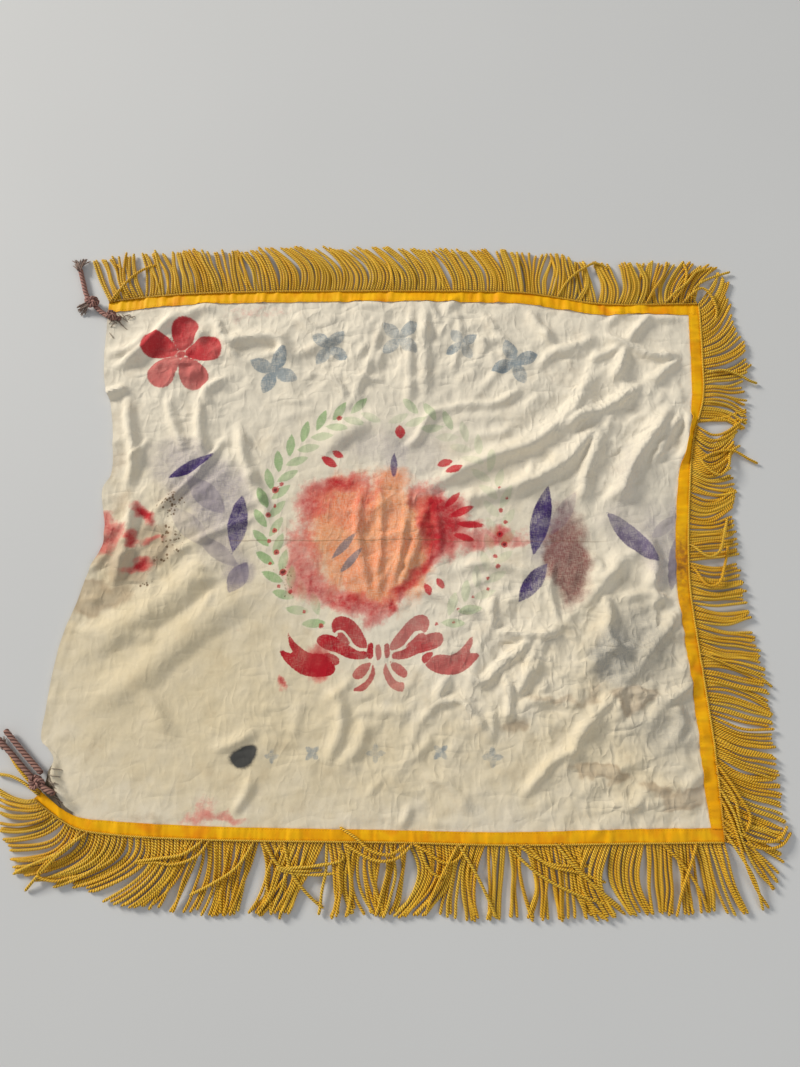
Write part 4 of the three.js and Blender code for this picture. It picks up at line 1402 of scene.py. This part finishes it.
def flat_lay(surface):
    """Flat coordinates in metres over a grid: the mean length of its rows and columns so
    far, so that a weave keeps its scale over the whole cloth."""
    steps_u = np.linalg.norm(np.diff(surface, axis=1), axis=2).mean(0)
    steps_v = np.linalg.norm(np.diff(surface, axis=0), axis=2).mean(1)
    u = np.concatenate([[0], np.cumsum(steps_u)]) * MM
    v = np.concatenate([[0], np.cumsum(steps_v)]) * MM
    return np.dstack(np.meshgrid(u, v))


def make_panel(cloth, colours):
    """The cotton panel: the panel surface as a closed sheet, thicker along the turned hem."""
    u, _, right = grid_lines(cloth.columns - BORDER_STEPS, BORDER_STEPS, 1)
    v, low, high = grid_lines(cloth.rows - 2 * BORDER_STEPS, BORDER_STEPS, 2)
    under = panel_surface(u, right, v, low, high, cloth)
    x, y = under[..., 0], under[..., 1]
    from_left = np.hypot(x - x[:, :1], y - y[:, :1])
    hem = 0.55 * (1 - smooth((from_left - cloth.hem / MM) / 1.5 + 0.5))
    rolled = 0.35 * np.exp(-from_left / 1.5)
    thickness = (cloth.thickness / MM + hem + rolled)[..., None]
    over = under + upward_normals(under) * thickness
    fields = cloth_fields(x, y)
    finish = cotton_finish(colours)
    return shell("panel_cloth", lowered(under, 2), over, flat_lay(under), fields, finish)


def ribbon_strip(name, u, right, v, low, high, cloth, seed, finish):
    """A tape over the panel's border: the panel surface lifted by the cloth, with small
    random puckers across the tape, and its long edges turned down a little."""
    surface = panel_surface(u, right, v, low, high, cloth)
    x, y = surface[..., 0], surface[..., 1]
    is_side = len(v) > len(u)
    share = np.asarray(right)[None, :] if is_side else np.maximum(low, high)[:, None]
    share = np.broadcast_to(np.clip(share, -0.1, 1.1), x.shape)
    run = y if is_side else x
    pucker = 0.5 * cloudy(run, share * 3, 7, seed) + 0.6 * cloudy(run, share * 4, 17, seed + 1)
    pucker = 0.5 + 2.6 * np.maximum(0, pucker) + 0.9 * np.abs(cloudy(run, share, 5, seed + 2))
    edge = 0.35 * (2 * np.abs(share - 0.5)) ** 4
    lift = cloth.thickness / MM + np.maximum(0.12, pucker - edge)
    normal = upward_normals(surface)
    under = surface + normal * lift[..., None]
    over = under + normal * (cloth.ribbon / MM)
    lay = np.dstack([(run - run.min()) * MM, share])
    soil = np.zeros(x.shape)
    if is_side:
        soil = 0.9 * np.exp(-((y + 8) / 32) ** 2) + 0.5 * np.exp(-((y + 60) / 60) ** 2)
        soil += 0.35 * np.exp(-((y - 250) / 20) ** 2)
    soil += 0.25 * np.clip(cloudy(x, y, 30, seed + 3), 0, 1)
    return shell(name, under, over, lay, {"soil": soil}, finish)


def make_ribbons(cloth, colours):
    """Three tapes. The top and bottom ones run the whole width, out over the corners, and
    the side one butts against them."""
    finish = ribbon_finish(colours)
    long_u = np.concatenate([np.linspace(0, 1, 420), np.ones(7)])
    long_right = np.concatenate([np.zeros(420), np.linspace(0, 1.06, 8)[1:]])
    across = np.linspace(-0.04, 1.07, 8)
    none = np.zeros(len(across))
    top = ribbon_strip(
        "ribbon_top", long_u, long_right, np.ones(8), none, across, cloth, 201, finish
    )
    bottom = ribbon_strip(
        "ribbon_bottom", long_u, long_right, np.zeros(8), across[::-1], none, cloth, 211, finish
    )
    side_v = np.linspace(0, 1, 340)
    flat = np.zeros(len(side_v))
    side = ribbon_strip(
        "ribbon_side", np.ones(8), across, side_v, flat, flat, cloth, 221, finish
    )
    return top, bottom, side


def fringe_paths(line, outwards, table, strays, count, rings, cloth, seed):
    """Centre lines of fringe strands, as strand by ring by three.

    A strand starts at its place on the edge. It runs outwards by the table's reach, and
    slides along the edge by the lean, as 0.35 of the share run plus 0.65 of its square, and
    by the bow, as the sine of half a turn over its length. Neighbours form locks of random
    widths. The strands of a lock are shifted and bent together, draw in towards its middle,
    and lie in one of up to three layers. Each strand has a little of its own.
    """
    draw = np.random.default_rng(seed)
    s = (np.arange(count) + 0.5 + draw.uniform(-0.2, 0.2, count)) / count
    span = line_length(line)
    root = along(line, s)
    ahead = along(line, s + 0.002) - along(line, s - 0.002)
    ahead /= np.linalg.norm(ahead, axis=1, keepdims=True)
    out = np.stack([-ahead[:, 1], ahead[:, 0]], -1) * outwards
    table = np.array(table)
    reach, lean, disorder, bow = (
        np.interp(s, table[:, 0], table[:, k]) for k in (1, 2, 3, 4)
    )
    zero = np.zeros(count)
    lock = np.searchsorted(np.cumsum(draw.uniform(1, 11, count)), np.arange(count))
    shift, bend, lift = draw.normal(0, 1, (3, count))[:, lock]
    middle = np.bincount(lock, s)[lock] / np.bincount(lock)[lock]
    wide = cloudy(s * span, zero + 9, 60, seed + 2)
    reach = reach + 2.5 * cloudy(s * span, zero + 31, 14, seed + 3) + draw.normal(0, 1.6, count)
    own = draw.normal(0, 1, count) * (0.7 + 5.0 * disorder**2)
    tip = (0.08 + 0.15 * disorder) * (middle - s) * span + (0.8 + 6 * disorder) * shift
    tip += (2 + 6 * disorder) * wide + own
    belly = bow + (1 + 6 * disorder) * bend + draw.normal(0, 0.4 + 1.4 * disorder, count)
    t = np.linspace(0, 1, rings)[None, :]
    slide = lean[:, None] * (0.35 * t + 0.65 * t**2) + tip[:, None] * (0.3 * t + 0.7 * t**2)
    slide = slide + belly[:, None] * np.sin(math.pi * t)
    wave = cloudy(s[:, None] * span / 16 + 0 * t, 2.2 * t + 0 * s[:, None], 1, seed + 5)
    slide = slide + (1.5 + 3 * disorder[:, None]) * wave * t
    far = 0.2 + reach[:, None] * (t - 0.06 * np.abs(slide / reach[:, None]) ** 2 * t)
    flat = root[:, None] + out[:, None] * far[..., None] + ahead[:, None] * slide[..., None]
    edge_height = EDGE_LIFT * cloth_height(root[:, 0], root[:, 1], cloth)
    layer = (lift > 0.1) + 0.7 * draw.choice([0, 1], count, p=[0.6, 0.4]) * (0.3 + 0.7 * disorder)
    rise = 2.4 * layer[:, None] * smooth(4 * t) * (1 - 0.4 * smooth((t - 0.6) / 0.4))
    height = 1.95 + rise + edge_height[:, None] * (1 - smooth(1.6 * t))
    hand_laid = np.array([along(route, t[0]) for _, route in strays])
    top = np.array([height for height, _ in strays])[:, None]
    roots = EDGE_LIFT * cloth_height(hand_laid[:, 0, 0], hand_laid[:, 0, 1], cloth)
    over = 1.9 + (top - 2.4) * np.sin(math.pi * t**0.8) ** 0.7
    over = over + roots[:, None] * (1 - smooth(1.6 * t))
    ordered = np.dstack([flat, height])
    return np.concatenate([ordered, np.dstack([hand_laid, over])]), draw


STRAND_LOBES = 2  # plies twisted together in one strand
STRAND_SIDES = 6
STRAND_GROOVE = 0.36  # depth of the grooves between the plies, as a share of the radius
STRAND_FRAY = 0.62  # size of a strand's cut end, as a share of the radius


def make_fringe(name, line, outwards, table, strays, rings, cloth, fringe, seed, finish):
    """A row of twisted strands along one edge of the panel."""
    count = int(line_length(line) * MM / fringe.spacing)
    paths, draw = fringe_paths(line, outwards, table, strays, count, rings, cloth, seed)
    radius = fringe.strand / 2 / MM
    paths[..., 2] = np.maximum(paths[..., 2], radius)
    return cords(
        name, paths, radius, fringe.lay / MM, STRAND_LOBES, STRAND_GROOVE, STRAND_SIDES, finish,
        draw, STRAND_FRAY,
    )


def make_heading(name, line, outwards, cloth, seed, finish):
    """The fringe's heading: one thin twisted cord that lies along the ribbon's outer edge."""
    rings = int(line_length(line) / 0.85)
    path = along(line, np.linspace(0.002, 0.998, rings))
    ahead = np.gradient(path, axis=0)
    ahead /= np.linalg.norm(ahead, axis=1, keepdims=True)
    path = path + np.stack([-ahead[:, 1], ahead[:, 0]], -1) * outwards * 0.6
    height = EDGE_LIFT * cloth_height(path[:, 0], path[:, 1], cloth) + 3.1
    path = np.column_stack([path, height])
    draw = np.random.default_rng(seed)
    return cords(name, path[None], 1.25, 4.2, 2, 0.4, 6, finish, draw, 0.7)


def tie_line(route, rings):
    """Centre line of a tie in millimetres, from its route in metres."""
    return along(np.array(route) / MM, np.linspace(0, 1, rings))


def knot_line(centre, reach, rings, turn):
    """Closed line of a knot that winds twice round while it crosses itself three times.

    Its distance from the middle swings three times in two turns, and so does its height.
    """
    t = np.linspace(0, 2 * math.pi, rings)
    away = reach * (0.62 + 0.38 * np.cos(3 * t))
    x = away * np.cos(2 * t + turn)
    y = 0.8 * away * np.sin(2 * t + turn)
    z = 0.36 * reach * np.sin(3 * t)
    return np.stack([x, y, z], -1) + np.array(centre)


def tuft_lines(centre, heading, spread, reach, count, rings, draw):
    """Frayed yarns: each leaves the centre within the spread of the heading, runs for about
    the reach, bends sideways with the square of the share run, and sinks to the floor."""
    t = np.linspace(0, 1, rings)[None, :]
    angle = np.radians(heading + draw.uniform(-spread, spread, (count, 1)))
    length = reach * draw.uniform(0.6, 1.1, (count, 1))
    bend = draw.normal(0, 0.22, (count, 1)) * length
    x = length * t * np.cos(angle) - bend * t**2 * np.sin(angle)
    y = length * t * np.sin(angle) + bend * t**2 * np.cos(angle)
    start = draw.normal(0, 1.1, (count, 1))
    z = centre[2] + np.abs(start) + (0.8 - centre[2]) * t**1.4 + draw.uniform(0, 2, (count, 1)) * t
    side = start * (1 - 0.4 * t)
    x = x + centre[0] - side * np.sin(angle)
    y = y + centre[1] + side * np.cos(angle)
    return np.dstack([x, y, np.maximum(z, 0.6)])


def stitch_lines(pairs, cloth, top, rings):
    """Stitches: level lines between two places that arch up from the cloth in the middle."""
    pairs = np.array(pairs, float)
    t = np.linspace(0, 1, rings)[None, :]
    x = pairs[:, 0:1] * (1 - t) + pairs[:, 2:3] * t
    y = pairs[:, 1:2] * (1 - t) + pairs[:, 3:4] * t
    z = cloth_height(x, y, cloth) + cloth.thickness / MM + 0.2 + top * np.sin(math.pi * t)
    return np.dstack([x, y, z])


WHIPPING = [
    (-352, 283, -342, 277), (-350, 289, -340, 284), (-346, 291, -338, 278),
    (-343, 291, -334, 283), (-340, 288, -330, 280), (-338, 291, -331, 281),
    (-352, 276, -344, 284), (-350, 272, -343, 279), (-344, 282, -334, 274),
    (-336, 286, -328, 290), (-348, 280, -336, 286), (-334, 289, -324, 286),
    (-330, 283, -322, 288), (-351, 266, -345, 258), (-338, 276, -330, 270),
]
LOWER_WHIPPING = [
    (-372, -256, -357, -262), (-371, -250, -357, -254), (-369, -244, -357, -247),
    (-366, -238, -356, -240), (-368, -262, -355, -268), (-362, -268, -350, -272),
    (-373, -262, -360, -252), (-365, -258, -354, -276), (-370, -246, -359, -258),
]


def make_ties(fringe, finish, frayed, draw):
    """Three twisted cords with their knots and frayed ends."""
    radius = fringe.tie / 2 / MM
    lay = fringe.tie_lay / MM
    rows = [
        ("tie_cord_top", TIE_TOP, "tie_top", 84),
        ("tie_cord_bottom", TIE_BOTTOM, "tie_bottom", 80),
        ("tie_cord_second", TIE_BOTTOM_SECOND, "tie_bottom_second", 56),
    ]
    pieces = {}
    for name, route, node, rings in rows:
        path = tie_line(route, rings)
        pieces[node] = cords(name, path[None], radius, lay, 3, 0.2, 18, finish, draw, 0.75)
        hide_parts(node)
    rings = 90
    knots = [
        ("knot_top", (-374, 304.5, 7.4), 7.0, 0.4), ("knot_corner", (-349, 286, 8.2), 5.6, 1.1),
        ("knot_bottom", (-379, -252, 9.6), 7.2, 2.0),
    ]
    made = {}
    for name, centre, reach, turn in knots:
        line = knot_line(centre, reach, rings, turn)
        made[name] = cords(name, line[None], 2.3, 9, 3, 0.2, 10, finish, draw, 0.8)
    tufts = [
        ("tuft_top", (-393, 348, 5), 105, 24, 17, 34), ("tuft_stub", (-376, 303, 6), 208, 26, 17, 30),
        ("tuft_bottom", (-416, -217, 6.5), 141, 10, 13, 30),
    ]
    for name, centre, heading, spread, reach, count in tufts:
        lines = tuft_lines(centre, heading, spread, reach, count, 16, draw)
        made[name] = cords(name, lines, 0.75, 4, 2, 0.25, 5, frayed, draw, 0.5)
    for piece in [*pieces.values(), *made.values()]:
        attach(piece, "root")
    for name, route, node, rings in rows:
        middle = (tie_line(route, 26) + np.array([*CENTRE, 0])) * MM
        line_length(route)


# ---------------------------------------------------------------- operators


class BANNER_OT_stage(bpy.types.Operator):
    """Makes the floor, the soft daylight and the camera"""

    bl_idname = "banner.stage"
    bl_label = "Floor, light and camera"

    def execute(self, context):
        scene = context.scene
        scene.view_settings.view_transform = "Standard"
        size = 3.0
        mesh = bpy.data.meshes.new("floor")
        corners = [(-size, -size, 0), (size, -size, 0), (size, size, 0), (-size, size, 0)]
        mesh.from_pydata(corners, [], [(0, 1, 2, 3)])
        mesh.materials.append(floor_finish())
        floor = bpy.data.objects.new("floor", mesh)
        scene.collection.objects.link(floor)
        world = bpy.data.worlds.new("pale_room")
        world.use_nodes = True
        world.node_tree.nodes["Background"].inputs["Color"].default_value = (0.93, 0.96, 1.0, 1.0)
        world.node_tree.nodes["Background"].inputs["Strength"].default_value = 0.34
        scene.world = world
        # (name, place, size, power, colour)
        lamps = [
            ("window", (-5.2, 3.5, 2.85), 1.7, 440.0, (1.0, 0.965, 0.905)),
            ("far_fill", (1.7, -1.2, 2.0), 1.8, 12.0, (0.96, 0.98, 1.0)),
        ]
        for name, place, width, power, colour in lamps:
            data = bpy.data.lights.new(name, "AREA")
            data.shape = "SQUARE"
            data.size = width
            data.energy = power
            data.color = colour
            lamp = bpy.data.objects.new(name, data)
            lamp.location = place
            towards = Vector((0.0, 0.0, 0.0)) - Vector(place)
            lamp.rotation_euler = towards.to_track_quat("-Z", "Y").to_euler()
            scene.collection.objects.link(lamp)
        view = bpy.data.cameras.new("camera")
        view.lens = 25.98
        view.sensor_width = 36.0
        view.clip_start = 0.01
        camera = bpy.data.objects.new("camera", view)
        camera.location = (0.0009, -0.1855, 0.850)
        camera.rotation_euler = (math.radians(13.5), 0.0, 0.0)
        scene.collection.objects.link(camera)
        scene.camera = camera
        return {"FINISHED"}


class BANNER_OT_ties(bpy.types.Operator):
    """Makes the three cord ties at the pole side, with their knots and frayed ends"""

    bl_idname = "banner.ties"
    bl_label = "Cord ties"

    def execute(self, context):
        colours = context.scene.banner_colours
        fringe = context.scene.banner_fringe
        finish = strand_finish(
            "faded_cord", colours.cord, (0.075, 0.035, 0.03), (0.30, 0.17, 0.12), 3, 6, 0.85
        )
        frayed = strand_finish(
            "frayed_yarn", (0.40, 0.27, 0.22), (0.13, 0.08, 0.06), (0.30, 0.27, 0.23), 2, 5, 0.9
        )
        make_ties(fringe, finish, frayed, np.random.default_rng(301))
        return {"FINISHED"}


class BANNER_OT_panel(bpy.types.Operator):
    """Makes the creased cotton panel with its dyes and worn prints"""

    bl_idname = "banner.panel"
    bl_label = "Cotton panel"

    def execute(self, context):
        scene = context.scene
        piece = make_panel(scene.banner_cloth, scene.banner_colours)
        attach(piece, "root")
        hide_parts("panel")
        return {"FINISHED"}


class BANNER_OT_ribbons(bpy.types.Operator):
    """Makes the ribbed silk tapes along three edges of the panel"""

    bl_idname = "banner.ribbons"
    bl_label = "Ribbon tapes"

    def execute(self, context):
        scene = context.scene
        made = make_ribbons(scene.banner_cloth, scene.banner_colours)
        for piece, node in zip(made, ("tape_top", "tape_bottom", "tape_right")):
            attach(piece, "root")
            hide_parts(node)
        return {"FINISHED"}


class BANNER_OT_fringe(bpy.types.Operator):
    """Makes the rows of twisted strands along three edges of the panel"""

    bl_idname = "banner.fringe"
    bl_label = "Cord fringe"

    def execute(self, context):
        scene = context.scene
        cloth = scene.banner_cloth
        fringe = scene.banner_fringe
        gold = scene.banner_colours.gold
        finish = strand_finish(
            "twisted_gold_cord", gold, (0.14, 0.042, 0.003), (1.0, 0.71, 0.085), 2, 8, 0.50
        )
        side_edge = [BOTTOM_CORNER, *RIGHT_OUTER[1:], TOP_CORNER]
        rows = [
            ("fringe_top_strands", [*TOP_OUTER, TOP_CORNER], 1, TOP_FRINGE, TOP_STRAYS,
             62, 101, "fringe_top"),
            ("fringe_side_strands", side_edge, -1, RIGHT_FRINGE, RIGHT_STRAYS,
             66, 111, "fringe_right"),
            ("fringe_bottom_strands", [*BOTTOM_OUTER, BOTTOM_CORNER], -1, BOTTOM_FRINGE,
             BOTTOM_STRAYS, 68, 121, "fringe_bottom"),
        ]
        for name, line, outwards, table, strays, rings, seed, node in rows:
            piece = make_fringe(
                name, line, outwards, table, strays, rings, cloth, fringe, seed, finish
            )
            heading = make_heading(
                name.replace("strands", "heading"), line, outwards, cloth, seed + 50, finish
            )
            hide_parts(node)
            for made in (piece, heading):
                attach(made, "root")
        return {"FINISHED"}


class BANNER_OT_sewing(bpy.types.Operator):
    """Makes the waxed threads sewn over the two corners at the pole side"""

    bl_idname = "banner.sewing"
    bl_label = "Corner sewing"

    def execute(self, context):
        scene = context.scene
        cloth = scene.banner_cloth
        finish = thread_finish(scene.banner_colours)
        draw = np.random.default_rng(401)
        for name, pairs in (("sewing_top", WHIPPING), ("sewing_bottom", LOWER_WHIPPING)):
            lines = stitch_lines(pairs, cloth, 1.6, 14)
            piece = cords(name, lines, 0.5, 3, 2, 0.2, 6, finish, draw, 0.7)
            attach(piece, "root")
        return {"FINISHED"}


class BANNER_PT_parts(bpy.types.Panel):
    """Lists the banner's parts in the sidebar"""

    bl_idname = "BANNER_PT_parts"
    bl_label = "Banner"
    bl_space_type = "VIEW_3D"
    bl_region_type = "UI"
    bl_category = "Banner"

    def draw(self, context):
        for kind in OPERATORS:
            self.layout.operator(kind.bl_idname)
        for group in ("banner_cloth", "banner_fringe", "banner_colours"):
            settings = getattr(context.scene, group)
            box = self.layout.box()
            for key in settings.bl_rna.properties.keys():
                if key not in ("rna_type", "name"):
                    box.prop(settings, key)


OPERATORS = (
    BANNER_OT_stage, BANNER_OT_ties, BANNER_OT_panel, BANNER_OT_ribbons, BANNER_OT_fringe,
    BANNER_OT_sewing,
)
GROUPS = {
    "banner_cloth": ClothSettings, "banner_fringe": FringeSettings,
    "banner_colours": ColourSettings,
}


def register():
    for kind in (*GROUPS.values(), *OPERATORS, BANNER_PT_parts):
        bpy.utils.register_class(kind)
    for key, kind in GROUPS.items():
        setattr(bpy.types.Scene, key, PointerProperty(type=kind))


def unregister():
    for key in GROUPS:
        delattr(bpy.types.Scene, key)
    for kind in reversed((*GROUPS.values(), *OPERATORS, BANNER_PT_parts)):
        bpy.utils.unregister_class(kind)


def main():
    register()
    for kind in OPERATORS:
        space, name = kind.bl_idname.split(".")
        if getattr(getattr(bpy.ops, space), name)() != {"FINISHED"}:
            raise RuntimeError(f"{kind.bl_label} wasn't made")


if __name__ == "__main__":
    main()
